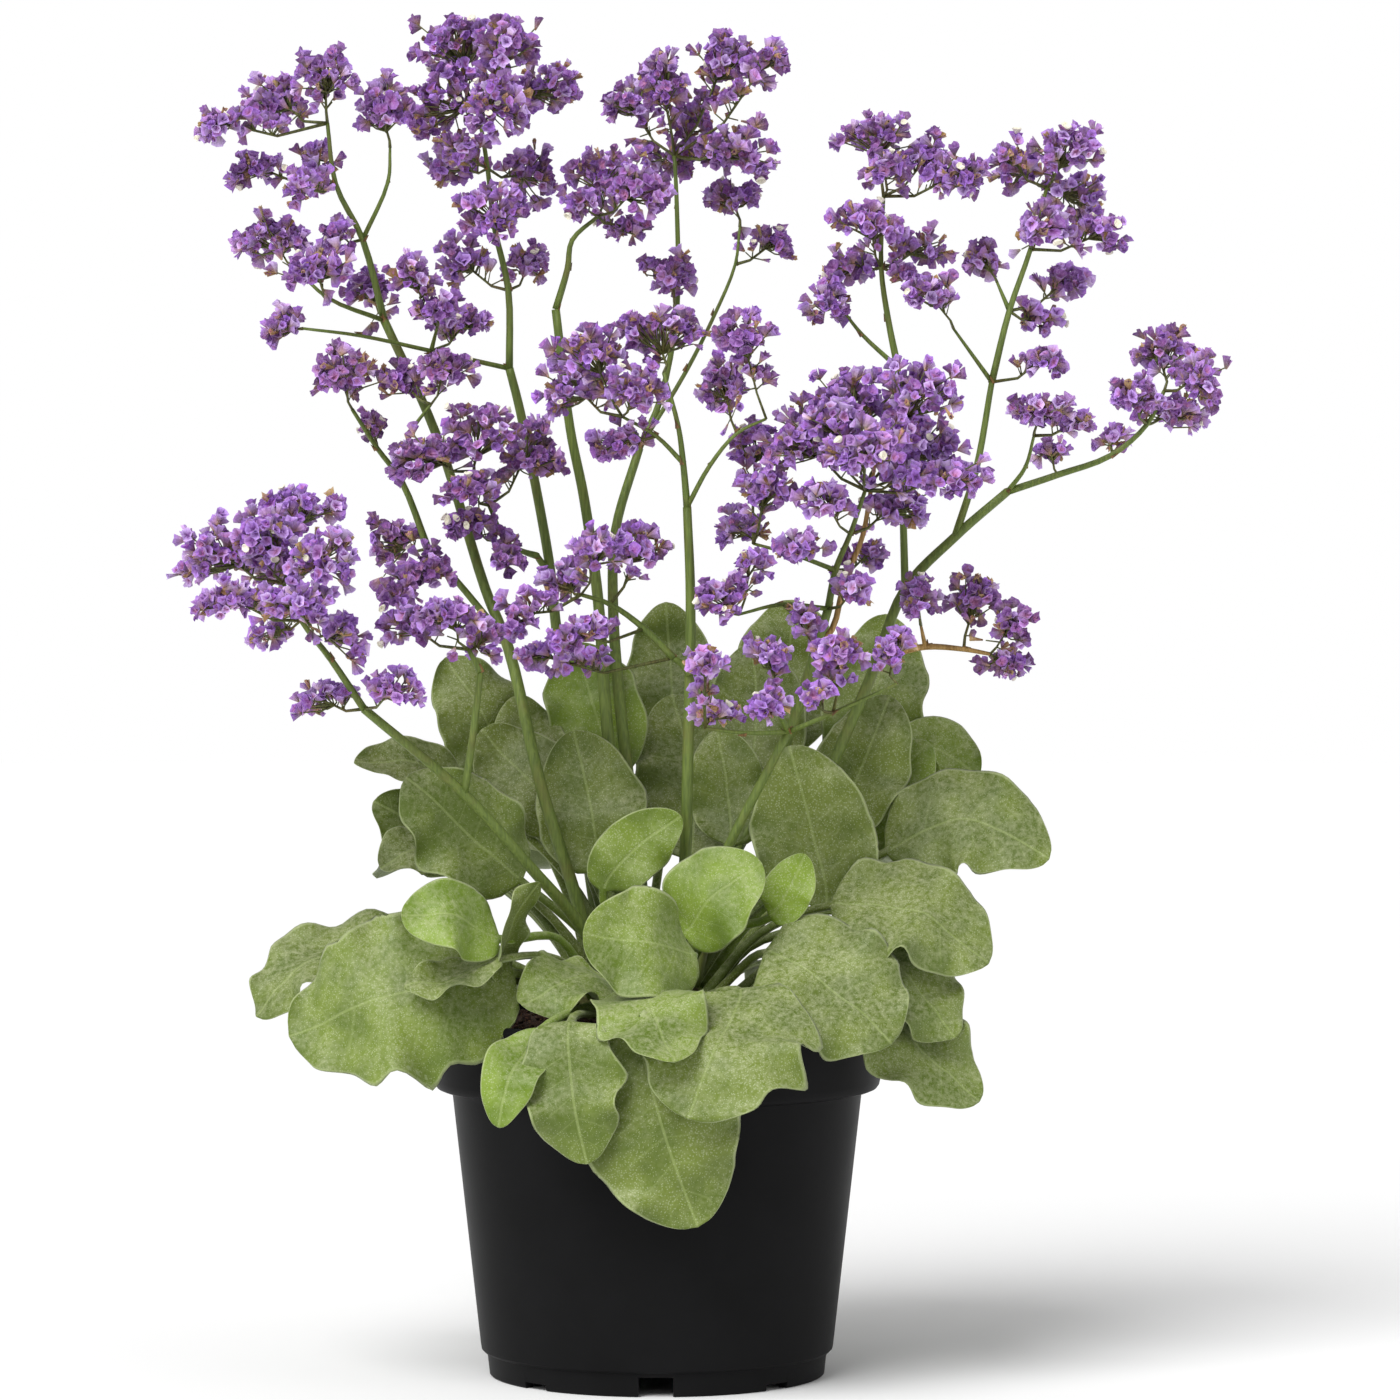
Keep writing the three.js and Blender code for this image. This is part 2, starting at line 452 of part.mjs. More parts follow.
// The branch point that a tuft grows from: the nearest one, those above the tuft counting as farther.
function forkFor(centre, forks) {
  const cost = (fork) => fork.distanceTo(centre) + uphillCost * Math.max(0, fork.z - centre.z);
  return forks.reduce((best, fork) => (cost(fork) < cost(best) ? fork : best));
}

function tuftGeometry([x, y, z, across, deep, high]) {
  const tuft = new THREE.SphereGeometry(1, 6, 4);
  tuft.rotateX(Math.PI / 2);
  tuft.scale(across, deep, high);
  tuft.translate(x, y, z);
  return tuft;
}

function panicleGeometry(panicle, foot) {
  const lines = panicle.branches.map((line) => line.map(point));
  const forks = lines.flat();
  const pieces = lines.map((line, i) => tube(line, i === 0 ? trunkDiameter : limbDiameter, 4));
  for (const tuft of panicle.tufts) {
    const centre = point(tuft.slice(0, 3));
    pieces.push(tube([forkFor(centre, forks), centre], twigDiameter, 3), tuftGeometry(tuft));
  }
  return geometryOf(joined(pieces.map(solidOf))).translate(-foot.x, -foot.y, -foot.z);
}

// A place on the crown, a little above its skin.
function seatOn([x, y], gap) {
  return new THREE.Vector3(x, y, crownHeight(x, y) + gap);
}

const numbered = (name, i) => `${name}_${String(i + 1).padStart(2, '0')}`;

function piece(name, geometry, place, finish) {
  const mesh = new THREE.Mesh(geometry, new THREE.MeshStandardMaterial({ ...finish, metalness: 0 }));
  mesh.name = name;
  mesh.position.copy(place);
  return mesh;
}

const origin = new THREE.Vector3();

const container = new THREE.Group();
container.add(piece('pot', potGeometry(), origin, finishes.pot));
container.add(piece('potting_soil', soilGeometry(), origin, finishes.soil));

const rosette = new THREE.Group();
rosette.add(piece('root_crown', crownGeometry(), crownCentre, finishes.crown));
leaves.forEach((leaf, i) => {
  const seat = seatOn(leaf.seat, seatGap);
  rosette.add(piece(numbered('leaf', i), leafGeometry(leaf, seat), seat, finishes.leaf));
});

const flowers = new THREE.Group();
stems.forEach((stem, i) => {
  const seat = seatOn(stem.seat, stemSeatGap);
  flowers.add(piece(numbered('flower_stem', i), stemGeometry(stem, seat), seat, finishes.stem));
});
panicles.forEach((panicle, i) => {
  const foot = point(panicle.branches[0][0]);
  flowers.add(piece(numbered('panicle', i), panicleGeometry(panicle, foot), foot, finishes.flowers));
});

const group = new THREE.Group();
group.add(container, rosette, flowers);

export default group;
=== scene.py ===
import math
import random

import bpy
import numpy as np
from mathutils import Matrix, Vector, noise


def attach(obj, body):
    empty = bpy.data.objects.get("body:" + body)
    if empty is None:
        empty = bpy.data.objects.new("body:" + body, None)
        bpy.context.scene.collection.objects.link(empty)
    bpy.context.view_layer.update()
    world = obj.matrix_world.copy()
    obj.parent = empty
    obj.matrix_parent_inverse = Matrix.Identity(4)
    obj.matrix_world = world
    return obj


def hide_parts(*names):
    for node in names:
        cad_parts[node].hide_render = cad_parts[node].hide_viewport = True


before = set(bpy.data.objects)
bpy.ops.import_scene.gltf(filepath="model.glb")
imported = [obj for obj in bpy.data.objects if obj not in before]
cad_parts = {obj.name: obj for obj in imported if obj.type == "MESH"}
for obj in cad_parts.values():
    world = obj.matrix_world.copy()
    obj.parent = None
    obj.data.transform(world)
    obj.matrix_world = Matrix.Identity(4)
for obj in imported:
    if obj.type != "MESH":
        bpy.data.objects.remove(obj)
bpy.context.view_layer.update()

mm = 0.001


def deselect():
    bpy.ops.object.select_all(action="DESELECT")


def select(piece):
    deselect()
    piece.select_set(True)
    bpy.context.view_layer.objects.active = piece


def closeSkin(gap, openEnds=True):
    # the active piece is merged along its seams, closed at its open ends and turned outwards
    bpy.ops.object.mode_set(mode="EDIT")
    bpy.ops.mesh.select_all(action="SELECT")
    bpy.ops.mesh.remove_doubles(threshold=gap * mm)
    if openEnds:
        bpy.ops.mesh.fill_holes(sides=0)
        bpy.ops.mesh.select_all(action="SELECT")
    bpy.ops.mesh.normals_make_consistent(inside=False)
    bpy.ops.object.mode_set(mode="OBJECT")


def nodeName(kind, number):
    return f"{kind}_{number:02d}"


def finished(piece, material, slotName, *nodes):
    # one place for the calls that every finished piece needs
    piece.data.materials.clear()
    piece.data.materials.append(material)
    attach(piece, "root")
    if nodes:
        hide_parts(*nodes)
    return piece


def linear(hexColour):
    channels = [int(hexColour[i:i + 2], 16) / 255 for i in (1, 3, 5)]
    return tuple(c / 12.92 if c <= 0.04045 else ((c + 0.055) / 1.055) ** 2.4 for c in channels) + (1.0,)


def addNode(tree, kind, settings=None, links=None, output=None):
    # settings name properties or sockets, a hex value being a colour, and links name the sockets to feed
    node = tree.nodes.new("ShaderNode" + kind)
    for name, value in (settings or {}).items():
        if isinstance(name, str) and hasattr(node, name):
            setattr(node, name, value)
    for name, value in (settings or {}).items():
        if not (isinstance(name, str) and hasattr(node, name)):
            isHex = isinstance(value, str) and value.startswith("#")
            node.inputs[name].default_value = linear(value) if isHex else value
    for name, source in (links or {}).items():
        tree.links.new(source, node.inputs[name])
    return node.outputs[output] if output else next(o for o in node.outputs if o.enabled)


def startMaterial(name, settings):
    # settings name the shader's own sockets
    material = bpy.data.materials.new(name)
    material.use_nodes = True
    for socket, value in settings.items():
        material.node_tree.nodes["Principled BSDF"].inputs[socket].default_value = value
    return material, material.node_tree, addNode(material.node_tree, "TexCoord", output="Object")


def endMaterial(material, links):
    # links name the shader's sockets and what feeds them
    for socket, source in links.items():
        material.node_tree.links.new(source, material.node_tree.nodes["Principled BSDF"].inputs[socket])
    return material


def makePotMaterial():
    # black polypropylene, injection moulded: a satin skin with a faint flow mottle, and a little peat dust
    material, tree, place = startMaterial("blackPolypropylene", {"IOR": 1.49, "Specular IOR Level": 0.03})
    mottle = addNode(tree, "TexNoise", {"Scale": 1000 / 30, "Detail": 3.0}, {"Vector": place})
    specks = addNode(tree, "TexNoise", {"Scale": 1000 / 2.5, "Detail": 4.0, "Roughness": 0.7},
                     {"Vector": place})
    dust = addNode(tree, "MapRange", {"From Min": 0.63, "From Max": 0.85, "To Max": 0.15}, {"Value": specks})
    colour = addNode(tree, "Mix", {"data_type": "RGBA", 6: "#141414", 7: "#1c1c1d"}, {0: mottle})
    colour = addNode(tree, "Mix", {"data_type": "RGBA", 7: "#2c2825"}, {0: dust, 6: colour})
    rough = addNode(tree, "MapRange", {"To Min": 0.36, "To Max": 0.5}, {"Value": mottle})
    grain = addNode(tree, "TexNoise", {"Scale": 1000 / 1.2, "Detail": 2.0}, {"Vector": place})
    skin = addNode(tree, "Bump", {"Strength": 0.4, "Distance": 0.05 * mm}, {"Height": grain})
    return endMaterial(material, {"Base Color": colour, "Roughness": rough, "Normal": skin})


def makeSoilMaterial():
    # moist peat compost: dark red-brown crumbs with paler fibres, no shine
    material, tree, place = startMaterial("moistPeat", {"Roughness": 0.95, "IOR": 1.4})
    crumbs = addNode(tree, "TexNoise", {"Scale": 1000 / 5, "Detail": 5.0, "Roughness": 0.65},
                     {"Vector": place})
    wave = addNode(tree, "TexWave", {"Scale": 160.0, "Distortion": 22.0, "Detail": 3.0, "Detail Scale": 1.6},
                   {"Vector": place}, "Fac")
    lumps = addNode(tree, "MapRange", {"From Min": 0.35, "From Max": 0.7}, {"Value": crumbs})
    fibres = addNode(tree, "MapRange", {"From Min": 0.93, "From Max": 1.0}, {"Value": wave})
    colour = addNode(tree, "Mix", {"data_type": "RGBA", 6: "#120a08", 7: "#3a2119"}, {0: lumps})
    colour = addNode(tree, "Mix", {"data_type": "RGBA", 7: "#6a4a34"}, {0: fibres, 6: colour})
    relief = addNode(tree, "Bump", {"Strength": 0.9, "Distance": 2.0 * mm}, {"Height": crumbs})
    return endMaterial(material, {"Base Color": colour, "Normal": relief})


def makeCrownMaterial():
    # living crown: fibrous brown leaf bases with green flesh between them
    material, tree, place = startMaterial("fibrousCrown", {"Roughness": 0.85, "IOR": 1.42})
    scales = addNode(tree, "TexNoise", {"Scale": 1000 / 6, "Detail": 4.0, "Roughness": 0.6},
                     {"Vector": place})
    share = addNode(tree, "MapRange", {"From Min": 0.35, "From Max": 0.65}, {"Value": scales})
    colour = addNode(tree, "Mix", {"data_type": "RGBA", 6: "#33240f", 7: "#5f6a2c"}, {0: share})
    relief = addNode(tree, "Bump", {"Strength": 0.9, "Distance": 1.2 * mm}, {"Height": scales})
    return endMaterial(material, {"Base Color": colour, "Normal": relief})


def makeLeafMaterial():
    # fresh leaf blade: olive green under a dull waxy bloom, with a painted highlight where it faces up, pale
    # veins, and salt specks from its glands
    material, tree, place = startMaterial("waxyLeaf", {"IOR": 1.42, "Sheen Weight": 0.12,
                                                      "Sheen Roughness": 0.5})
    spread = addNode(tree, "SeparateXYZ", None, {0: addNode(tree, "UVMap", {"uv_map": "leafMap"})}, "X")
    along = addNode(tree, "SeparateXYZ", None, {0: addNode(tree, "UVMap", {"uv_map": "leafMap"})}, "Y")
    across = addNode(tree, "Math", {"operation": "ABSOLUTE"}, {0: spread})  # 0 on the midrib, 1 on the margin
    young = addNode(tree, "Attribute", {"attribute_name": "young"}, output="Fac")
    under = addNode(tree, "Attribute", {"attribute_name": "underside"}, output="Fac")
    ribDistance = addNode(tree, "Attribute", {"attribute_name": "ribDistance"}, output="Fac")
    cloudy = addNode(tree, "TexNoise", {"Scale": 1000 / 24, "Detail": 3.0, "Roughness": 0.55},
                     {"Vector": place})
    mottle = addNode(tree, "TexNoise", {"Scale": 1000 / 2.2, "Detail": 5.0, "Roughness": 0.75},
                     {"Vector": place})
    patches = addNode(tree, "MapRange", {"interpolation_type": "SMOOTHSTEP", "From Min": 0.36, "From Max": 0.64},
                      {"Value": cloudy})
    old = addNode(tree, "Mix", {"data_type": "RGBA", 6: "#4d5e12", 7: "#667526"}, {0: patches})
    fresh = addNode(tree, "Mix", {"data_type": "RGBA", 6: "#5f7a0c", 7: "#7d9826"}, {0: patches})
    colour = addNode(tree, "Mix", {"data_type": "RGBA"}, {0: young, 6: old, 7: fresh})
    # the pale bloom comes in cloudy patches and is painted thicker on what faces up: a painted highlight from the
    # light above
    facing = addNode(tree, "SeparateXYZ", None, {0: addNode(tree, "NewGeometry", output="Normal")}, "Z")
    paintedTopLight = addNode(tree, "MapRange", {"From Min": -0.1, "From Max": 0.8, "To Min": 0.16, "To Max": 1.0},
                    {"Value": facing})
    bloomAndTopHighlight = addNode(tree, "MapRange", {"From Min": 0.4, "From Max": 0.76, "To Max": 0.72}, {"Value": mottle})
    bloomAndTopHighlight = addNode(tree, "Math", {"operation": "MULTIPLY"}, {0: bloomAndTopHighlight, 1: paintedTopLight})
    colour = addNode(tree, "Mix", {"data_type": "RGBA", 7: "#bcc098"}, {0: bloomAndTopHighlight, 6: colour})
    # side veins run out and forward from the midrib, one every seventh of the blade
    lean = addNode(tree, "Math", {"operation": "MULTIPLY_ADD", 1: -0.17}, {0: across, 2: along})
    wander = addNode(tree, "Math", {"operation": "MULTIPLY_ADD", 1: 0.1}, {0: cloudy, 2: lean})
    rows = addNode(tree, "Math", {"operation": "MULTIPLY", 1: 7.0}, {0: wander})
    wave = addNode(tree, "Math", {"operation": "PINGPONG", 1: 0.5}, {0: rows})
    sideVein = addNode(tree, "MapRange", {"interpolation_type": "SMOOTHSTEP", "From Min": 0.0, "From Max": 0.07,
                       "To Min": 0.3, "To Max": 0.0}, {"Value": wave})
    inner = addNode(tree, "MapRange", {"From Min": 0.5, "From Max": 0.95, "To Min": 1.0, "To Max": 0.0},
                    {"Value": across})
    sideVein = addNode(tree, "Math", {"operation": "MULTIPLY"}, {0: sideVein, 1: inner})
    midrib = addNode(tree, "MapRange", {"interpolation_type": "SMOOTHSTEP", "From Min": 0.25, "From Max": 0.8,
                     "To Min": 0.7, "To Max": 0.0}, {"Value": ribDistance})
    veins = addNode(tree, "Math", {"operation": "MAXIMUM"}, {0: midrib, 1: sideVein})
    veinShare = addNode(tree, "Math", {"operation": "MULTIPLY", 1: 0.5}, {0: veins})
    colour = addNode(tree, "Mix", {"data_type": "RGBA", 7: "#9fae6c"}, {0: veinShare, 6: colour})
    # salt specks about 0.3 mm wide and 0.9 mm apart, thicker in the cloudy patches
    cells = addNode(tree, "TexVoronoi", {"Scale": 1000 / 0.9}, {"Vector": place}, "Distance")
    size = addNode(tree, "MapRange", {"From Min": 0.35, "From Max": 0.65, "To Min": 0.16, "To Max": 0.36},
                   {"Value": cloudy})
    speck = addNode(tree, "Math", {"operation": "LESS_THAN"}, {0: cells, 1: size})
    speckShare = addNode(tree, "Math", {"operation": "MULTIPLY", 1: 0.3}, {0: speck})
    colour = addNode(tree, "Mix", {"data_type": "RGBA", 7: "#c3cba8"}, {0: speckShare, 6: colour})
    rim = addNode(tree, "MapRange", {"From Min": 0.94, "From Max": 0.98, "To Max": 0.65}, {"Value": across})
    colour = addNode(tree, "Mix", {"data_type": "RGBA", 7: "#b0bc86"}, {0: rim, 6: colour})
    back = addNode(tree, "Math", {"operation": "MULTIPLY", 1: 0.55}, {0: under})
    colour = addNode(tree, "Mix", {"data_type": "RGBA", 7: "#8d9a6c"}, {0: back, 6: colour})
    rough = addNode(tree, "MapRange", {"To Min": 0.4, "To Max": 0.66}, {"Value": mottle})
    # veins sink into the face and stand out on the back
    side = addNode(tree, "MapRange", {"To Min": -1.0, "To Max": 1.0}, {"Value": under})
    height = addNode(tree, "Math", {"operation": "MULTIPLY_ADD"}, {0: veins, 1: side, 2: mottle})
    relief = addNode(tree, "Bump", {"Strength": 0.6, "Distance": 0.35 * mm}, {"Height": height})
    return endMaterial(material, {"Base Color": colour, "Roughness": rough, "Normal": relief})


def makeStalkMaterial(name, dark, light, brown):
    # waxy flower stalk that grew with fine ribs along it, browner in patches where it ages
    material, tree, place = startMaterial(name, {"Roughness": 0.55, "IOR": 1.44})
    drawn = addNode(tree, "Mapping", {"Scale": (1.0, 1.0, 0.06)}, {"Vector": place})
    ribs = addNode(tree, "TexNoise", {"Scale": 1000 / 0.9, "Detail": 2.0}, {"Vector": drawn})
    blotch = addNode(tree, "TexNoise", {"Scale": 1000 / 14, "Detail": 4.0, "Roughness": 0.65},
                     {"Vector": place})
    ribShare = addNode(tree, "MapRange", {"From Min": 0.35, "From Max": 0.65}, {"Value": ribs})
    aged = addNode(tree, "MapRange", {"From Min": 0.5, "From Max": 0.75, "To Max": 0.6}, {"Value": blotch})
    colour = addNode(tree, "Mix", {"data_type": "RGBA", 6: dark, 7: light}, {0: ribShare})
    colour = addNode(tree, "Mix", {"data_type": "RGBA", 7: brown}, {0: aged, 6: colour})
    relief = addNode(tree, "Bump", {"Strength": 0.3, "Distance": 0.2 * mm}, {"Height": ribs})
    return endMaterial(material, {"Base Color": colour, "Normal": relief})


def makeCalyxMaterial():
    # dry papery calyx: thin, matt and crinkled, each one tinted by its own age
    material, tree, place = startMaterial("paperyCalyx", {"Roughness": 0.75, "IOR": 1.4,
                                                         "Sheen Weight": 0.2, "Sheen Roughness": 0.4})
    tint = addNode(tree, "Attribute", {"attribute_name": "petalTint"}, output="Color")
    crinkle = addNode(tree, "TexNoise", {"Scale": 1000 / 1.1, "Detail": 3.0, "Roughness": 0.6},
                      {"Vector": place})
    # painted highlight on the raised crinkles and painted shade in the creases between them
    lit = addNode(tree, "MapRange", {"From Min": 0.5, "From Max": 0.8, "To Max": 0.4}, {"Value": crinkle})
    creaseShade = addNode(tree, "MapRange", {"From Min": 0.5, "From Max": 0.2, "To Max": 0.3}, {"Value": crinkle})
    colour = addNode(tree, "Mix", {"data_type": "RGBA", 7: "#dcc6ee"}, {0: lit, 6: tint})
    colour = addNode(tree, "Mix", {"data_type": "RGBA", 7: "#3a1c4a"}, {0: creaseShade, 6: colour})
    relief = addNode(tree, "Bump", {"Strength": 0.8, "Distance": 0.5 * mm}, {"Height": crinkle})
    return endMaterial(material, {"Base Color": colour, "Normal": relief})


potPlastic = makePotMaterial()
peat = makeSoilMaterial()
crownFibre = makeCrownMaterial()
leafGreen = makeLeafMaterial()
stalkGreen = makeStalkMaterial("greenStalk", "#56682a", "#6d7e36", "#6a6230")
twigOlive = makeStalkMaterial("oliveTwig", "#464a22", "#6a6f38", "#6a4c2a")
stalkTan = makeStalkMaterial("driedStalk", "#8a6a34", "#b8955a", "#7a5a30")
bractBrown = makeStalkMaterial("dryBract", "#5a4022", "#8a6a3c", "#3c2a18")
calyxPaper = makeCalyxMaterial()
print("materials made")


def splinePoint(points, t):
    # a centripetal Catmull-Rom line, each span taking an equal share of t
    last = len(points) - 1
    i = min(int(t * last), last - 1)
    w = t * last - i
    p1, p2 = points[i], points[i + 1]
    p0 = points[i - 1] if i > 0 else p1 * 2 - p2
    p3 = points[i + 2] if i + 2 <= last else p2 * 2 - p1
    d1 = (p2 - p1).length ** 0.5 or 1.0
    d0 = (p1 - p0).length ** 0.5 or d1
    d2 = (p3 - p2).length ** 0.5 or d1
    m1 = ((p1 - p0) / d0 - (p2 - p0) / (d0 + d1) + (p2 - p1) / d1) * d1
    m2 = ((p2 - p1) / d1 - (p3 - p1) / (d1 + d2) + (p3 - p2) / d2) * d1
    return (p1 * (2 * w ** 3 - 3 * w ** 2 + 1) + m1 * (w ** 3 - 2 * w ** 2 + w)
            + p2 * (3 * w ** 2 - 2 * w ** 3) + m2 * (w ** 3 - w ** 2))


def splineTangent(points, t):
    a, b = max(0.0, t - 0.004), min(1.0, t + 0.004)
    return (splinePoint(points, b) - splinePoint(points, a)).normalized()


pot = {
    "height": 150, "rim": 95, "collar": 31, "lip": 91, "bodyTop": 85.4, "bodyFoot": 73.5,
    "foot": 70, "footHeight": 10, "wall": 1.8, "floor": 10, "underside": 7.5, "pad": 15,
    "steps": 144, "wideNotch": 14, "narrowNotch": 12, "narrowNotchHeight": 2.5, "notches": 8, "notchAway": 68,
    "notchDepth": 20, "edge": 0.35, "edgeFrom": 50, "smoothTo": 32,
}


def makePot():
    lip = pot["height"] - pot["collar"]
    top, rim, wall = pot["height"], pot["rim"], pot["wall"]
    profile = [
        (0, 0), (pot["pad"], 0), (pot["pad"] + 0.8, 0.6), (pot["pad"] + 1.5, pot["underside"]),
        (pot["foot"] - 5, pot["underside"]), (pot["foot"] - 4, 0.4), (pot["foot"] - 3.6, 0),
        (pot["foot"] - 0.5, 0), (pot["foot"], 0.5), (pot["foot"] + 0.9, 8.4), (pot["foot"] + 1.4, 9.4),
        (pot["bodyFoot"] - 1.2, 9.8), (pot["bodyFoot"] - 0.2, 10.8), (pot["bodyFoot"] + 0.1, 12.5),
        (pot["bodyTop"] - 0.1, lip - 2.0), (pot["bodyTop"] + 0.5, lip - 0.7), (pot["bodyTop"] + 1.6, lip - 0.1),
        (pot["lip"] - 1.0, lip + 0.1), (pot["lip"] + 0.7, lip + 0.8), (pot["lip"] + 1.7, lip + 2.2),
        (pot["lip"] + 2.2, lip + 4.5), (rim - 0.3, top - 3.6), (rim, top - 2.6), (rim - 0.1, top - 1.2),
        (rim - 0.7, top - 0.2), (rim - 1.3, top), (rim - wall - 0.1, top - 0.3), (rim - wall - 0.5, top - 1.2),
        (rim - wall - 2.2, lip + 5), (rim - wall - 3.4, lip + 2.6), (pot["bodyTop"] - wall + 1.4, lip + 1),
        (pot["bodyTop"] - wall, lip - 1.5), (pot["bodyFoot"] - wall, pot["floor"] + 3),
        (pot["bodyFoot"] - wall - 1, pot["floor"] + 0.8), (pot["bodyFoot"] - wall - 3, pot["floor"]),
        (0, pot["floor"]),
    ]
    deselect()
    bpy.ops.mesh.primitive_circle_add(vertices=len(profile), radius=0.05, fill_type="NOTHING")
    body = bpy.context.object
    body.name = "nurseryPot"
    for vertex, (r, z) in zip(body.data.vertices, profile):
        vertex.co = (r * mm, 0, z * mm)
    bpy.ops.object.mode_set(mode="EDIT")
    bpy.ops.mesh.select_all(action="SELECT")
    bpy.ops.mesh.spin(steps=pot["steps"], angle=2 * math.pi, center=(0, 0, 0), axis=(0, 0, 1))
    bpy.ops.mesh.select_all(action="SELECT")
    bpy.ops.mesh.remove_doubles(threshold=0.02 * mm)
    bpy.ops.mesh.delete_loose()
    bpy.ops.mesh.select_all(action="SELECT")
    bpy.ops.mesh.normals_make_consistent(inside=False)
    bpy.ops.object.mode_set(mode="OBJECT")
    cutNotches(body)
    select(body)
    bpy.ops.object.modifier_add(type="BEVEL")
    soft = body.modifiers[-1]
    soft.width = pot["edge"] * mm
    soft.segments = 2
    soft.limit_method = "ANGLE"
    soft.angle_limit = math.radians(pot["edgeFrom"])
    bpy.ops.object.modifier_apply(modifier=soft.name)
    bpy.ops.object.shade_smooth_by_angle(angle=math.radians(pot["smoothTo"]))
    return finished(body, potPlastic, "pot", "pot")


def cutNotches(body):
    # four wide and four narrow drain notches in the foot ring, one wide notch at the front
    for i in range(pot["notches"]):
        wide = i % 2 == 0
        width = pot["wideNotch"] if wide else pot["narrowNotch"]
        height = pot["footHeight"] - 2 if wide else pot["narrowNotchHeight"]
        turn = -math.pi / 2 + i * 2 * math.pi / pot["notches"]
        deselect()
        away = pot["notchAway"]
        place = Vector((math.cos(turn) * away, math.sin(turn) * away, (height - 4) / 2)) * mm
        bpy.ops.mesh.primitive_cube_add(size=1, location=place, rotation=(0, 0, turn),
                                        scale=(pot["notchDepth"] * mm, width * mm, (height + 4) * mm))
        cutter = bpy.context.object
        bpy.ops.object.transform_apply(location=True, rotation=True, scale=True)
        select(body)
        bpy.ops.object.modifier_add(type="BOOLEAN")
        cut = body.modifiers[-1]
        cut.operation = "DIFFERENCE"
        cut.solver = "EXACT"
        cut.object = cutter
        bpy.ops.object.modifier_apply(modifier=cut.name)
        bpy.data.objects.remove(cutter)


makePot()
print("pot made")


soil = {
    "radius": 89.9, "rings": 70, "mound": 151, "edge": 140.5, "crumbs": 420, "crumbSize": (0.8, 2.6),
    "seed": 11,
}


def soilHeight(x, y):
    # low along the wall, a little heaped under the crown, lumpy all over
    away = math.hypot(x, y) / soil["radius"]
    base = soil["edge"] + (soil["mound"] - 1.2 - soil["edge"]) * (1 - max(0.0, (away - 0.45) / 0.55) ** 1.7)
    lumps = 1.1 * noise.noise(Vector((x, y, 3)) * 0.09) + 0.7 * noise.noise(Vector((x, y, 9)) * 0.33)
    return base + lumps


def makeSoil():
    deselect()
    count = soil["rings"]
    bpy.ops.mesh.primitive_grid_add(x_subdivisions=count, y_subdivisions=count, size=2)
    bed = bpy.context.object
    bed.name = "peatSoil"
    for vertex in bed.data.vertices:
        x, y = vertex.co.x, vertex.co.y
        # a square grid pressed into a disc
        discX, discY = x * math.sqrt(1 - y * y / 2), y * math.sqrt(1 - x * x / 2)
        discX, discY = discX * soil["radius"], discY * soil["radius"]
        vertex.co = (discX * mm, discY * mm, soilHeight(discX, discY) * mm)
    bpy.ops.object.mode_set(mode="EDIT")
    bpy.ops.mesh.select_all(action="DESELECT")
    bpy.ops.mesh.select_mode(type="EDGE")
    bpy.ops.mesh.select_non_manifold()
    bpy.ops.mesh.extrude_region_move(TRANSFORM_OT_translate={"value": (0, 0, -16 * mm)})
    bpy.ops.transform.resize(value=(0.94, 0.94, 1.0), center_override=(0, 0, 0))
    bpy.ops.mesh.extrude_region_move(TRANSFORM_OT_translate={"value": (0, 0, -112 * mm)})
    bpy.ops.transform.resize(value=(0.85, 0.85, 1.0), center_override=(0, 0, 0))
    bpy.ops.mesh.edge_face_add()
    bpy.ops.mesh.select_mode(type="VERT")
    bpy.ops.mesh.select_all(action="SELECT")
    bpy.ops.mesh.normals_make_consistent(inside=False)
    bpy.ops.object.mode_set(mode="OBJECT")
    rng = random.Random(soil["seed"])
    deselect()
    bpy.ops.mesh.primitive_ico_sphere_add(subdivisions=1, radius=1)
    crumb = bpy.context.object
    places = []
    for i in range(soil["crumbs"]):
        away = soil["radius"] * 0.96 * math.sqrt(rng.random())
        turn = rng.random() * 2 * math.pi
        x, y = away * math.cos(turn), away * math.sin(turn)
        size = rng.uniform(*soil["crumbSize"])
        turned = rng.random() * 6.3
        spin = Matrix.Rotation(turned, 4, Vector((rng.random(), rng.random(), rng.random() + 0.1)))
        stretch = Matrix.Diagonal((size * rng.uniform(0.7, 1.5), size, size * 0.7, 1))
        places.append(Matrix.Translation((x, y, soilHeight(x, y) + 0.2)) @ spin @ stretch)
    crumbs = copyMany("peatCrumbs", crumb, places, rng, 0.18)
    bpy.data.objects.remove(crumb)
    select(bed)
    crumbs.select_set(True)
    bpy.ops.object.join()
    bpy.ops.object.shade_smooth_by_angle(angle=math.radians(50))
    return finished(bed, peat, "soil", "potting_soil")


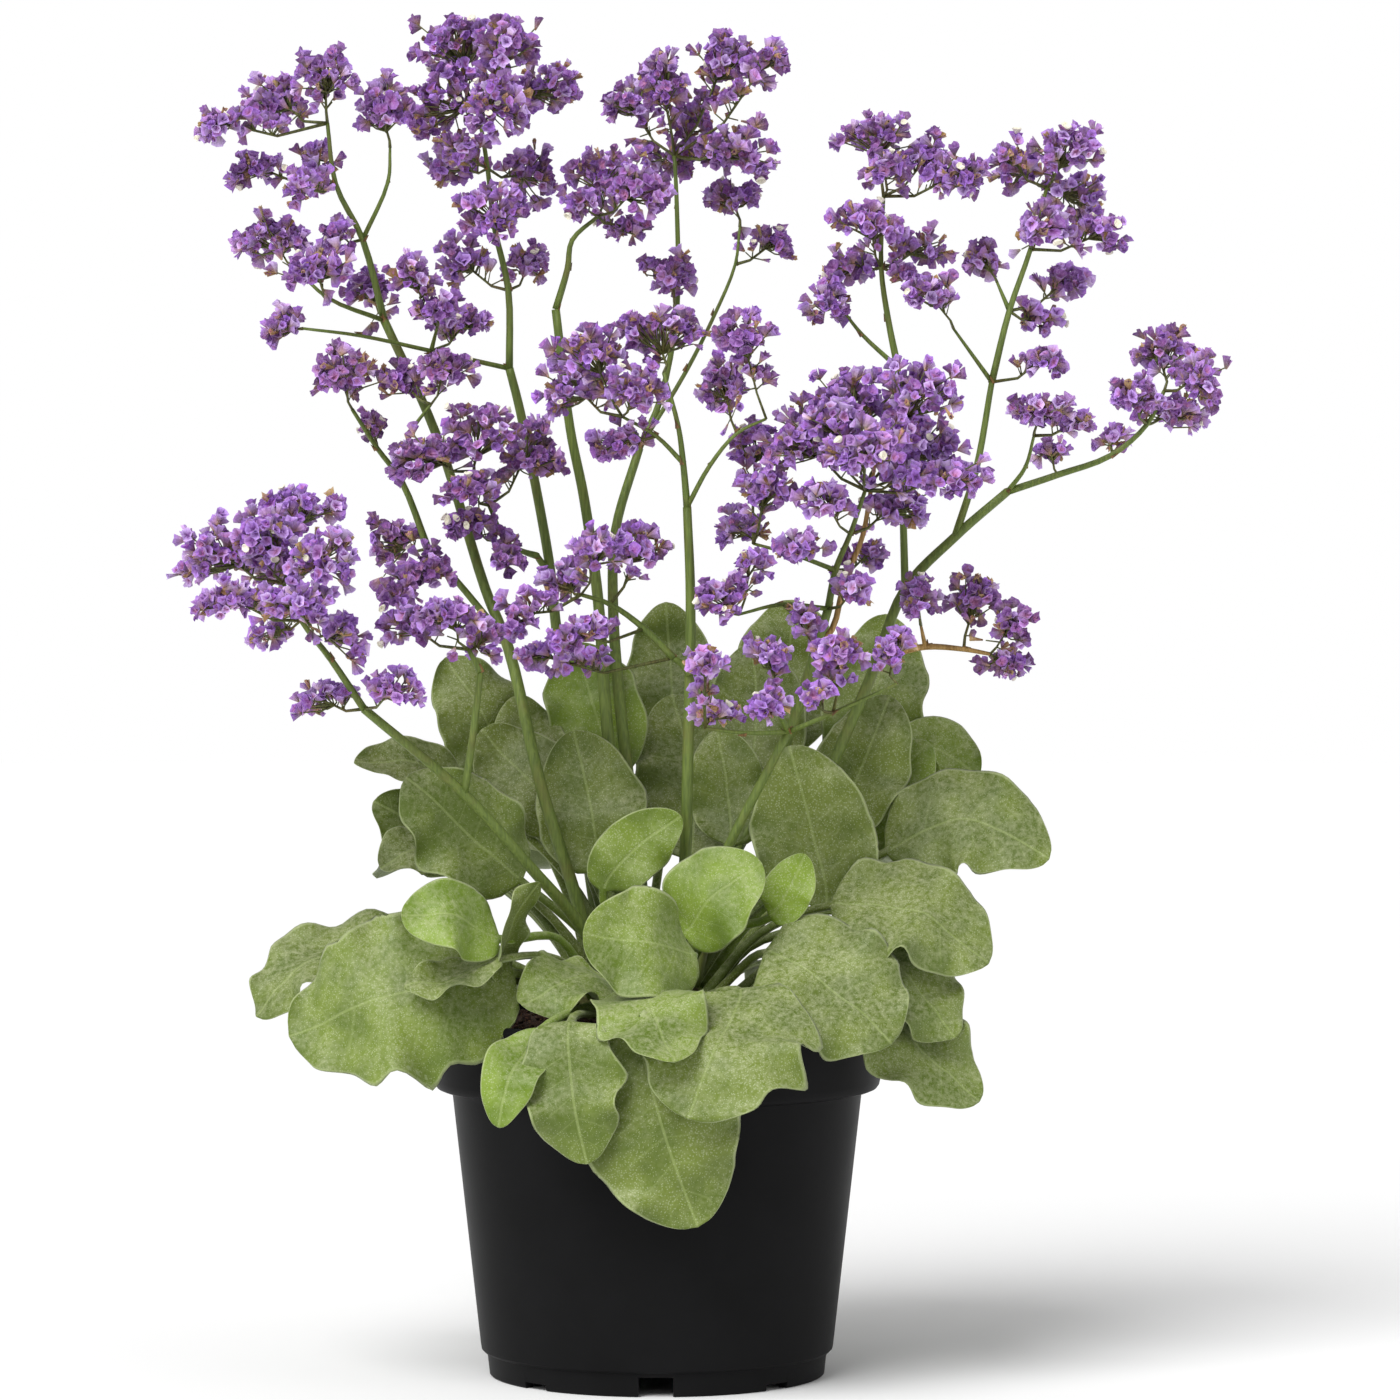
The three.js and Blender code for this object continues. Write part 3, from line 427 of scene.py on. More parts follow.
def copyMany(name, base, places, rng, jitter, tints=None, looseAbove=None):
    # one mesh that holds a copy of base at each place, in millimetres, each corner nudged a little
    count = len(base.data.vertices)
    flat = np.empty(count * 3)
    base.data.vertices.foreach_get("co", flat)
    corners = np.c_[flat.reshape(-1, 3), np.ones(count)]
    noiseSource = np.random.default_rng(rng.randrange(1 << 30))
    nudge = noiseSource.normal(0, jitter, (len(places), count, 3))
    if looseAbove is not None:
        nudge[:, corners[:, 2] < looseAbove] *= 0.2
    moves = np.array([np.array(place) for place in places])
    local = np.repeat(corners[None], len(places), axis=0)
    local[:, :, :3] += nudge
    spread = np.einsum("nij,nkj->nki", moves, local)[:, :, :3].reshape(-1, 3) * mm
    faces = [tuple(face.vertices) for face in base.data.polygons]
    allFaces = [tuple(v + i * count for v in face) for i in range(len(places)) for face in faces]
    mesh = bpy.data.meshes.new(name)
    mesh.from_pydata(spread.tolist(), [], allFaces)
    if tints is not None:
        layer = mesh.color_attributes.new("petalTint", "FLOAT_COLOR", "POINT")
        layer.data.foreach_set("color", np.asarray(tints, dtype=float).ravel())
    piece = bpy.data.objects.new(name, mesh)
    bpy.context.scene.collection.objects.link(piece)
    return piece


makeSoil()
print("soil made")


crown = {"centre": (-4, 0), "radius": 38, "foot": 150, "rise": 14, "lobes": 9, "segments": 40, "rings": 20}


def crownHeight(x, y):
    away = math.hypot(x - crown["centre"][0], y - crown["centre"][1]) / crown["radius"]
    return crown["foot"] + crown["rise"] * (1 - away * away)


def makeCrown():
    deselect()
    bpy.ops.mesh.primitive_uv_sphere_add(segments=crown["segments"], ring_count=crown["rings"], radius=1)
    dome = bpy.context.object
    dome.name = "rootCrown"
    for vertex in dome.data.vertices:
        x, y, z = vertex.co
        turn = math.atan2(y, x)
        lobes = 1 + 0.05 * math.sin(turn * crown["lobes"] + z * 3) + 0.04 * noise.noise(vertex.co * 2.5)
        radius = crown["radius"] * 0.97 * lobes
        high = crown["rise"] * z * 0.96 if z > 0 else z * 1.2
        vertex.co = ((crown["centre"][0] + x * radius) * mm, (crown["centre"][1] + y * radius) * mm,
                     (crown["foot"] - 0.1 + high) * mm)
    bpy.ops.object.shade_smooth()
    return finished(dome, crownFibre, "crown", "root_crown")


makeCrown()
print("crown made")


leafShape = {
    "around": 20, "rows": 50, "stalkRows": 10, "stalkHalfWidth": 1.9, "stalkHalfDepth": 1.5,
    "bladeHalfDepth": 0.42, "tipHalfWidth": 0.5, "widestAt": 0.8, "roundness": 0.52,
    "grooveWidth": 1.5, "grooveDepth": 0.5, "keel": 0.8, "ruffle": 3.4, "ragged": 0.05, "cockle": 3.4, "bow": 6.0,
    "crinkle": 0.5, "waves": (4.6, 2.7, 8), "teeth": (7.6, 3.4), "seated": 3,
}

# seat on the crown, point of the stalk, then foot, middle and tip of the blade in mm, its width, the way
# its upper face looks, how far its margins lift, how wavy they are and how young the leaf is
leaves = [
    ((-9, -33), (-9, -66, 157), (-8, -96, 154), (3, -104, 112), (17, -102, 73),
     66, (0.05, -1, 0.15), -0.06, 0.9, 0.1),
    ((-18, -30), (-25, -64, 155), (-34, -96, 154), (-33, -112, 128), (-27, -109, 99),
     41, (-0.15, -1, 0.25), -0.05, 1.3, 0.2),
    ((-5, -24.5), (-9, -46, 168), (-8, -70, 166), (-1, -101, 159), (8, -123, 141),
     46, (0.1, -0.6, 0.8), 0.04, 0.8, 0.5),
    ((6, -31), (19, -52, 161), (34, -73, 165), (25, -106, 147), (13, -118, 118),
     74, (0, -0.75, 0.65), -0.05, 1.6, 0.15),
    ((3, -22), (9, -38, 175), (15, -64, 179), (-7, -85, 186), (-29, -90, 190),
     48, (-0.1, -0.95, 0.35), 0.08, 0.5, 0.45),
    ((2, -10), (6, -24, 178), (12, -41, 186), (24, -52, 203), (43, -55, 216),
     42, (0, -0.85, 0.5), 0.1, 0.5, 0.8),
    ((-15.5, -21.6), (-19, -34, 168), (-21, -48, 168), (-36, -66, 168), (-54, -78, 160),
     37, (0.1, -0.65, 0.7), 0.1, 1.3, 0.4),
    ((-31, -19), (-43, -38, 168), (-58, -61, 171), (-105, -74, 163), (-149, -62, 146),
     73, (-0.12, -0.95, 0.35), -0.08, 1.2, 0.3),
    ((-25, -13), (-40, -40, 184), (-64, -70, 186), (-83, -84, 196), (-102, -88, 197),
     33, (0, -0.9, 0.45), 0.1, 0.6, 0.95),
    ((-12, -4), (-32, -15, 186), (-56, -27, 207), (-80, -33, 229), (-103, -36, 250),
     47, (0.1, -0.9, 0.4), 0.12, 1.0, 0.2),
    ((-12, 4), (-39, 14, 208), (-78, 8, 242), (-102, 3, 255), (-126, -4, 255),
     24, (0, -0.7, 0.7), 0.1, 1.2, 0.0),
    ((-28, -3.4), (-48, 4, 190), (-76, 10, 213), (-98, 13, 226), (-119, 11, 238),
     34, (0, -0.9, 0.4), 0.1, 1.3, 0.1),
    ((-6, 3), (-13, 0, 184), (-23, 0, 209), (-28, 3, 238), (-35, 8, 268),
     47, (0, -0.97, 0.2), 0.05, 0.6, 0.05),
    ((-8, -9), (-16, -15, 184), (-22, -23, 203), (-8, -26, 221), (10, -29, 234),
     28, (0.1, -0.95, 0.2), 0.1, 0.6, 0.55),
    ((1, 8), (7, 14, 188), (14, 22, 213), (14, 38, 250), (6, 52, 282),
     50, (0, -0.9, 0.4), 0.08, 0.8, 0.0),
    ((-20, 19), (-18, 24, 204), (-19, 32, 248), (-28, 37, 280), (-35, 38, 304),
     42, (-0.05, -0.95, 0.25), 0.08, 0.7, 0.7),
    ((-26, 10), (-36, 18, 194), (-54, 29, 232), (-72, 38, 268), (-90, 44, 298),
     44, (0.2, -0.9, 0.3), 0.08, 0.9, 0.1),
    ((20, -4), (38, -6, 178), (69, -10, 193), (64, -9, 228), (55, -4, 262),
     52, (-0.1, -0.95, 0.2), 0.06, 0.6, 0.05),
    ((20, 5), (52, 6, 196), (96, 8, 217), (128, 0, 231), (163, -8, 215),
     50, (0, -0.85, 0.5), -0.06, 0.9, 0.1),
    ((17, -12.6), (42, -17, 184), (72, -30, 197), (105, -39, 195), (136, -44, 174),
     56, (0.15, -0.75, 0.65), 0.05, 1.1, 0.1),
    ((17, -25), (31, -37, 168), (45, -49, 179), (72, -69, 165), (95, -79, 144),
     66, (0.15, -0.82, 0.55), -0.04, 1.1, 0.1),
    ((28, -7.4), (54, -18, 170), (85, -31, 178), (108, -44, 162), (122, -49, 144),
     42, (0.4, -0.75, 0.55), 0.05, 0.9, 0.2),
    ((24, -17.5), (54, -29, 158), (84, -39, 160), (109, -48, 139), (132, -50, 118),
     52, (0.4, -0.7, 0.6), 0.04, 0.9, 0.25),
    ((16, 13.7), (42, 20, 190), (78, 28, 214), (94, 34, 240), (115, 38, 262),
     40, (-0.1, -0.9, 0.4), 0.08, 0.9, 0.6),
    ((9, 20.5), (44, 38, 202), (84, 60, 242), (94, 70, 282), (98, 76, 316),
     46, (-0.15, -0.9, 0.35), 0.08, 0.8, 0.25),
    ((1, 24), (28, 44, 208), (50, 72, 256), (56, 84, 294), (58, 90, 322),
     48, (0, -0.9, 0.4), 0.08, 0.8, 0.1),
    ((-8, 24), (0, 50, 206), (6, 80, 258), (5, 92, 294), (3, 96, 321),
     38, (0, -0.9, 0.4), 0.08, 0.8, 0.1),
    ((19, 23), (34, 46, 164), (50, 72, 166), (67, 98, 156), (76, 116, 126),
     54, (0.4, 0.7, 0.6), -0.06, 0.9, 0.1),
    ((-4, 33), (-5, 58, 164), (-6, 84, 167), (-8, 112, 152), (-10, 126, 118),
     58, (0, 0.75, 0.65), -0.06, 0.9, 0.15),
    ((-24, 26), (-38, 46, 159), (-52, 68, 162), (-76, 94, 156), (-94, 106, 130),
     52, (-0.4, 0.65, 0.65), -0.06, 0.8, 0.2),
    ((-36, 8.5), (-60, 16, 168), (-87, 24, 176), (-118, 34, 168), (-142, 40, 148),
     48, (-0.5, 0.35, 0.8), 0.05, 1.0, 0.1),
    ((28, 7), (52, 18, 164), (78, 30, 170), (101, 39, 166), (119, 46, 150),
     42, (0.5, 0.35, 0.8), 0.05, 0.9, 0.2),
]

# small and half-hidden leaves that the frame has no node for
smallLeaves = [
    ((-12, -27), (-28, -66, 158), (-46, -97, 151), (-57, -112, 136), (-62, -114, 114),
     24, (-0.2, -1, 0.15), 0.1, 0.7, 0.9),
    ((8, -6), (22, -20, 184), (47, -40, 193), (54, -46, 205), (61, -46, 219),
     22, (0, -0.9, 0.4), 0.1, 0.5, 0.9),
    ((-22, -18), (-40, -46, 176), (-63, -74, 178), (-83, -82, 172), (-101, -86, 167),
     22, (-0.1, -0.6, 0.8), 0.2, 1.2, 0.1),
    ((-14, -14), (-34, -34, 172), (-59, -60, 169), (-58, -72, 190), (-47, -70, 209),
     19, (0.8, -0.6, 0.1), 0.3, 1.6, 0.05),
    ((-20, 2), (-50, 0, 196), (-91, 2, 218), (-103, -2, 218), (-115, -6, 211),
     26, (0, -0.8, 0.6), 0.1, 1.2, 0.0),
    ((-16, 12), (-26, 18, 200), (-41, 26, 236), (-53, 32, 259), (-60, 38, 282),
     34, (0, -0.9, 0.4), 0.08, 0.8, 0.05),
    ((6, 2), (18, 4, 194), (30, 6, 220), (29, 12, 245), (25, 20, 268),
     34, (0, -0.95, 0.3), 0.08, 0.8, 0.1),
    ((14, 18), (56, 32, 208), (103, 50, 240), (117, 56, 257), (137, 54, 247),
     34, (0, -0.9, 0.4), 0.05, 1.0, 0.45),
    ((5, 14), (20, 26, 204), (38, 44, 244), (42, 56, 276), (40, 62, 304),
     44, (0, -0.9, 0.4), 0.08, 0.8, 0.05),
    ((-14, 10), (-22, 12, 196), (-40, 14, 226), (-56, 18, 248), (-74, 22, 268),
     42, (0.1, -0.9, 0.4), 0.08, 0.9, 0.0),
    ((12, 10), (40, 16, 196), (72, 20, 226), (88, 24, 256), (98, 28, 282),
     40, (0, -0.9, 0.4), 0.08, 0.9, 0.05),
    ((18, 16), (40, 44, 186), (66, 74, 206), (82, 96, 214), (98, 114, 202),
     48, (0.2, 0.4, 0.9), 0.05, 0.9, 0.1),
    ((-14, 24), (-24, 50, 190), (-34, 80, 212), (-42, 104, 218), (-50, 124, 204),
     48, (-0.1, 0.45, 0.9), 0.05, 0.9, 0.1),
    ((6, 24), (12, 52, 192), (20, 82, 222), (24, 104, 236), (28, 120, 228),
     46, (0.05, 0.5, 0.85), 0.05, 0.9, 0.15),
    ((-26, 16), (-52, 40, 188), (-82, 62, 208), (-102, 76, 214), (-122, 84, 202),
     44, (-0.35, 0.35, 0.9), 0.05, 0.9, 0.1),
    ((-30, -10), (-60, -16, 172), (-100, -24, 182), (-140, -34, 176), (-164, -40, 152),
     42, (-0.35, -0.6, 0.7), 0.05, 1.0, 0.1),
    ((26, 2), (56, 4, 176), (90, 6, 186), (114, 8, 184), (134, 8, 168),
     44, (0.5, -0.3, 0.8), 0.05, 0.9, 0.15),
]


def leafOutline(u):
    return math.sin(math.pi * min(1.0, max(0.0, u)) ** leafShape["widestAt"]) ** leafShape["roundness"]


def smooth(value, low, high):
    w = min(1.0, max(0.0, (value - low) / (high - low)))
    return w * w * (3 - 2 * w)


def leafFrames(spine, facing, rows, stalkRows):
    # for each row: how far along, the share of the blade, the middle, and the two ways across
    frames = []
    for r in range(rows + 1):
        if r < stalkRows:
            t, u = 0.5 * r / stalkRows, 0.0
        else:
            w = (r - stalkRows) / (rows - stalkRows)
            u = 0.45 * w + 0.55 * math.sin(w * math.pi / 2)
            t = 0.5 + 0.5 * u
        along = splineTangent(spine, t)
        side = along.cross(facing).normalized()
        frames.append((t, u, splinePoint(spine, t), side, side.cross(along).normalized()))
    return frames


def marginWave(u, length, phases, hand):
    # uneven waves along one margin, in shares of the full ruffle
    long, short, slow = leafShape["waves"]  # in mm for each radian
    return (math.sin(u * length / long + phases[hand]) + 0.6 * math.sin(u * length / short + phases[2 + hand])
            + 0.4 * math.sin(u * length / slow + phases[4 + hand]))


def marginEdge(u, length, phases, hand):
    # blunt teeth where the waves turn back, in shares of the raggedness
    blunt, fine = leafShape["teeth"]
    wave = abs(math.sin(u * length / blunt + phases[hand] / 2))
    return 0.9 - 1.7 * wave + 0.8 * math.sin(u * length / fine + phases[2 + hand])


def makeLeaf(name, row, seed):
    seatXy, stalk, base, mid, tip, width, faces, lift, wavy, young = row
    shape = leafShape
    seat = Vector((*seatXy, crownHeight(*seatXy) - shape["seated"]))
    spine = [seat, Vector(stalk), Vector(base), Vector(mid), Vector(tip)]
    length = (spine[3] - spine[2]).length + (spine[4] - spine[3]).length
    rng = random.Random(seed)
    phases = [rng.random() * 6.3 for _ in range(6)]
    around, rows, stalkRows = ((shape["around"], shape["rows"], shape["stalkRows"]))
    frames = leafFrames(spine, Vector(faces).normalized(), rows, stalkRows)
    ruffle = shape["ruffle"] * wavy * min(1.0, width / 42)
    deselect()
    bpy.ops.mesh.primitive_grid_add(x_subdivisions=around, y_subdivisions=rows, size=2)
    leaf = bpy.context.object
    leaf.name = name
    fields = {"underside": [], "ribDistance": [], "young": []}
    uvs = []
    for vertex in leaf.data.vertices:
        turn = (vertex.co.x + 1) * math.pi
        t, u, centre, side, up = frames[round((vertex.co.y + 1) / 2 * rows)]
        across = -math.cos(turn)
        hand = 1 if across > 0 else 0
        stalkShare = 1 - smooth(u, 0.0, 0.12)
        fade = math.sqrt(max(0.0, u * (1 - u))) * 2
        edge = 1 + shape["ragged"] * wavy * fade * marginEdge(u, length, phases, hand)
        blade = width / 2 * leafOutline(u) * edge if u > 0 else 0
        footSwell = 1 + 0.5 * max(0, 1 - t * 5)
        halfWidth = max(shape["stalkHalfWidth"] * stalkShare * footSwell, blade, shape["tipHalfWidth"])
        thin, thick = shape["bladeHalfDepth"], shape["stalkHalfDepth"]
        halfDepth = thin + (thick - thin) * stalkShare
        x = across * halfWidth
        height = lift * 4 * u * (1 - u) * halfWidth * across * across
        height += ruffle * fade * abs(across) ** 3 * marginWave(u, length, phases, hand)
        height += shape["cockle"] * fade * noise.noise(Vector((x * 0.06, u * length * 0.06, seed * 1.7)))
        height += shape["bow"] * fade * noise.noise(Vector((x * 0.025, u * length * 0.03, seed * 2.3)))
        height += shape["crinkle"] * fade * noise.noise(Vector((x * 0.2, u * length * 0.2, seed * 3.1)))
        rib = math.exp(-(x / shape["grooveWidth"]) ** 2) * (1 - stalkShare) * (1 - u)
        sunk = shape["grooveDepth"] if math.sin(turn) > 0 else shape["keel"]
        depth = math.sin(turn) * halfDepth - sunk * rib
        vertex.co = (centre + side * x + up * (height + depth)) * mm
        fields["underside"].append(1.0 if math.sin(turn) < -0.02 else 0.0)
        fields["ribDistance"].append(abs(x) if u > 0 else 3.0)
        fields["young"].append(young)
        uvs.append((across, u))
    for field, values in fields.items():
        layer = leaf.data.attributes.new(field, "FLOAT", "POINT")
        layer.data.foreach_set("value", values)
    leafMap = leaf.data.uv_layers.active
    leafMap.name = "leafMap"
    for loop in leaf.data.loops:
        leafMap.data[loop.index].uv = uvs[loop.vertex_index]
    closeSkin(0.004)
    bpy.ops.object.shade_smooth()
    return leaf


for i, row in enumerate(leaves):
    leaf = makeLeaf(nodeName("staticeLeaf", i + 1), row, i + 1)
    finished(leaf, leafGreen, "leaf", nodeName("leaf", i + 1))
for i, row in enumerate(smallLeaves):
    finished(makeLeaf(nodeName("smallLeaf", i + 1), row, i + 61), leafGreen, "leaf")
print("leaves made")


stemShape = {"sides": 12, "main": (2.7, 1.7), "side": (1.6, 1.2), "seated": 3, "rib": 0.07, "ribs": 4}

# each stem: its seat on the crown, then its runs in mm, the first from the seat
stems = [
    ((-18, -12), [[(-30, -23, 186), (-52, -42, 214), (-78, -54, 244), (-118, -67.5, 279)],
                  [(-78, -54, 244), (-74, -61, 270), (-71, -63, 294)]]),
    ((-22, -1), [[(-33, -8, 197), (-48, -9, 245), (-62, 6, 302), (-72, 14, 327), (-93, 24, 392), (-115, 28, 440)],
                 [(-63, 7, 305), (-81, 12, 327), (-96, 14, 344)]]),
    ((-20, 9), [[(-27, 28, 198), (-34, 46, 245), (-38, 49, 280), (-43, 44, 310), (-46, 38, 339), (-58, 34, 402),
                 (-62.5, 32, 420)], [(-46, 38, 335), (-49, 36, 338), (-51, 34, 341)]]),
    ((4, 0), [[(11, -12, 205), (13, -20, 262), (14, -26, 323), (12.6, -28.5, 361)],
              [(13.8, -25, 292), (11, -26, 296), (7, -27.5, 299)]]),
    ((-3, 18), [[(-7, 17, 205), (-16, 27, 280), (-19, 41, 322), (-18, 50, 352), (-8, 57, 387)]]),
    ((10, -15), [[(19, -23, 195), (29, -31, 220), (54, -44.6, 269)]]),
    ((14, -2), [[(27, 6, 205), (45, 9, 240), (58, 2, 275), (66, -8, 302), (71, -11.5, 319)]]),
    ((12, 7), [[(34, 10, 195), (60, 12, 228), (89, 15, 289), (104, 18, 327), (125, 19, 349), (147, 20, 368)],
               [(104, 18, 327), (103, 20, 364), (101, 22, 420)],
               [(125, 19, 349), (134, 20, 378), (140.5, 22.3, 414)],
               [(89, 15, 289), (93, 12, 296), (98, 9, 300)]]),
    ((-12, 16), [[(-15, 13, 205), (-22, 19, 280), (-25, 28, 322), (-31, 33, 365), (-37, 35, 395),
                  (-43, 34, 445)]]),
]


def makeTube(name, line, radii, sides, rows, rib=0.0, ribs=0):
    # a grid rolled round the line and closed at both ends, in mm
    points = [Vector(p) for p in line]
    deselect()
    bpy.ops.mesh.primitive_grid_add(x_subdivisions=sides, y_subdivisions=rows, size=2)
    tube = bpy.context.object
    tube.name = name
    frames = []
    lastSide = Vector((1, 0.2, 0))
    for r in range(rows + 1):
        along = splineTangent(points, r / rows)
        side = (lastSide - along * lastSide.dot(along)).normalized()
        lastSide = side
        frames.append((splinePoint(points, r / rows), side, along.cross(side)))
    for vertex in tube.data.vertices:
        turn = (vertex.co.x + 1) * math.pi
        share = (vertex.co.y + 1) / 2
        centre, side, other = frames[round(share * rows)]
        radius = radii[0] + (radii[1] - radii[0]) * share
        radius *= 1 + rib * math.cos(turn * ribs)
        vertex.co = (centre + (side * math.cos(turn) + other * math.sin(turn)) * radius) * mm
    closeSkin(0.004)
    bpy.ops.object.shade_smooth()
    return tube


def joinPieces(pieces):
    select(pieces[0])
    for piece in pieces[1:]:
        piece.select_set(True)
    bpy.ops.object.join()
    return pieces[0]


def makeStem(number, seatXy, runs):
    tubes = []
    for i, run in enumerate(runs):
        line = run if i else [(*seatXy, crownHeight(*seatXy) - stemShape["seated"])] + run
        radii = stemShape["side" if i else "main"]
        tubes.append(makeTube(f"stemRun{number}", line, radii, stemShape["sides"], 6 * (len(line) - 1),
                              stemShape["rib"], stemShape["ribs"]))
    stem = joinPieces(tubes)
    stem.name = nodeName("flowerStem", number)
    return finished(stem, stalkGreen, "stem", nodeName("flower_stem", number))


for i, (seatXy, runs) in enumerate(stems):
    makeStem(i + 1, seatXy, runs)
print("stems made")


# one calyx, modelled once: foot at 0, opening along +Z, in mm
floretShape = {
    "sides": 10, "footRadius": 0.4, "rimHeight": 5.2, "rimRadius": 2.6, "wellRadius": 0.5, "wellHeight": 3.5,
    "lobe": 0.2, "lobeDrop": 0.5,
}


def growCup(name, sides, radius, foot, steps):
    # a flat disc drawn up and out and then back into its own middle, each step a rise in mm and a widening
    deselect()
    bpy.ops.mesh.primitive_circle_add(vertices=sides, radius=radius, fill_type="NGON", location=(0, 0, foot))
    cup = bpy.context.object
    bpy.ops.object.transform_apply(location=True, rotation=True, scale=True)
    cup.name = name
    bpy.ops.object.mode_set(mode="EDIT")
    bpy.ops.mesh.select_mode(type="FACE")
    bpy.ops.mesh.select_all(action="SELECT")
    for rise, grow in steps:
        bpy.ops.mesh.extrude_region_move(TRANSFORM_OT_translate={"value": (0, 0, rise)})
        bpy.ops.transform.resize(value=(grow, grow, 1.0), center_override=(0, 0, 0))
    bpy.ops.mesh.select_all(action="SELECT")
    bpy.ops.mesh.normals_make_consistent(inside=False)
    bpy.ops.object.mode_set(mode="OBJECT")
    return cup


def lobeOf(vertex):
    return math.cos(5 * math.atan2(vertex.co.y, vertex.co.x))  # five lobes round the rim


def makeFloret(name, wide=1.0, tall=1.0):
    s = floretShape
    floret = growCup(name, s["sides"], s["footRadius"], 0, [
        (s["rimHeight"] * tall, s["rimRadius"] * wide / s["footRadius"]),
        ((s["wellHeight"] - s["rimHeight"]) * tall, s["wellRadius"] / (s["rimRadius"] * wide)),
    ])
    for vertex in floret.data.vertices:
        if vertex.co.z > (s["rimHeight"] - 0.5) * tall:
            lobe = lobeOf(vertex)
            vertex.co.x *= 1 + s["lobe"] * lobe
            vertex.co.y *= 1 + s["lobe"] * lobe
            vertex.co.z += s["lobeDrop"] * lobe
    return floret


# the short-lived cream flower that opens inside a calyx: five small petals, in mm
corollaShape = {"sides": 10, "footRadius": 0.6, "foot": 4.6, "steps": ((2.2, 4.6), (0.3, 0.86), (-0.8, 0.2)),
                "petalsFrom": 1.5, "petalWidth": 0.68, "petalLobe": 0.4}


def makeCorolla(name):
    s = corollaShape
    petals = growCup(name, s["sides"], s["footRadius"], s["foot"], s["steps"])
    for vertex in petals.data.vertices:
        if math.hypot(vertex.co.x, vertex.co.y) > s["petalsFrom"]:
            lobe = lobeOf(vertex)
            vertex.co.x *= s["petalWidth"] + s["petalLobe"] * lobe
            vertex.co.y *= s["petalWidth"] + s["petalLobe"] * lobe
    return petals


floretKinds = [makeFloret("openFloret"), makeFloret("halfFloret", 0.72, 1.05),
               makeFloret("budFloret", 0.36, 0.95)]
corolla = makeCorolla("corolla")

paper = {
    "rims": ["#bc90e6", "#cba5f0", "#ab79d8", "#d9bcf6", "#a06ccc", "#c898e0"],
    "dark": ["#86569e", "#9665b0", "#a272bc", "#784c90"],
    "throat": ["#9c5ca0", "#b06e98", "#824e96"], "tube": ["#a07e50", "#83764a", "#b08e5e", "#8a6238"],
    "cream": "#f6f2dc", "dry": ["#b8925a", "#9c7a46", "#c6a76e"],
}

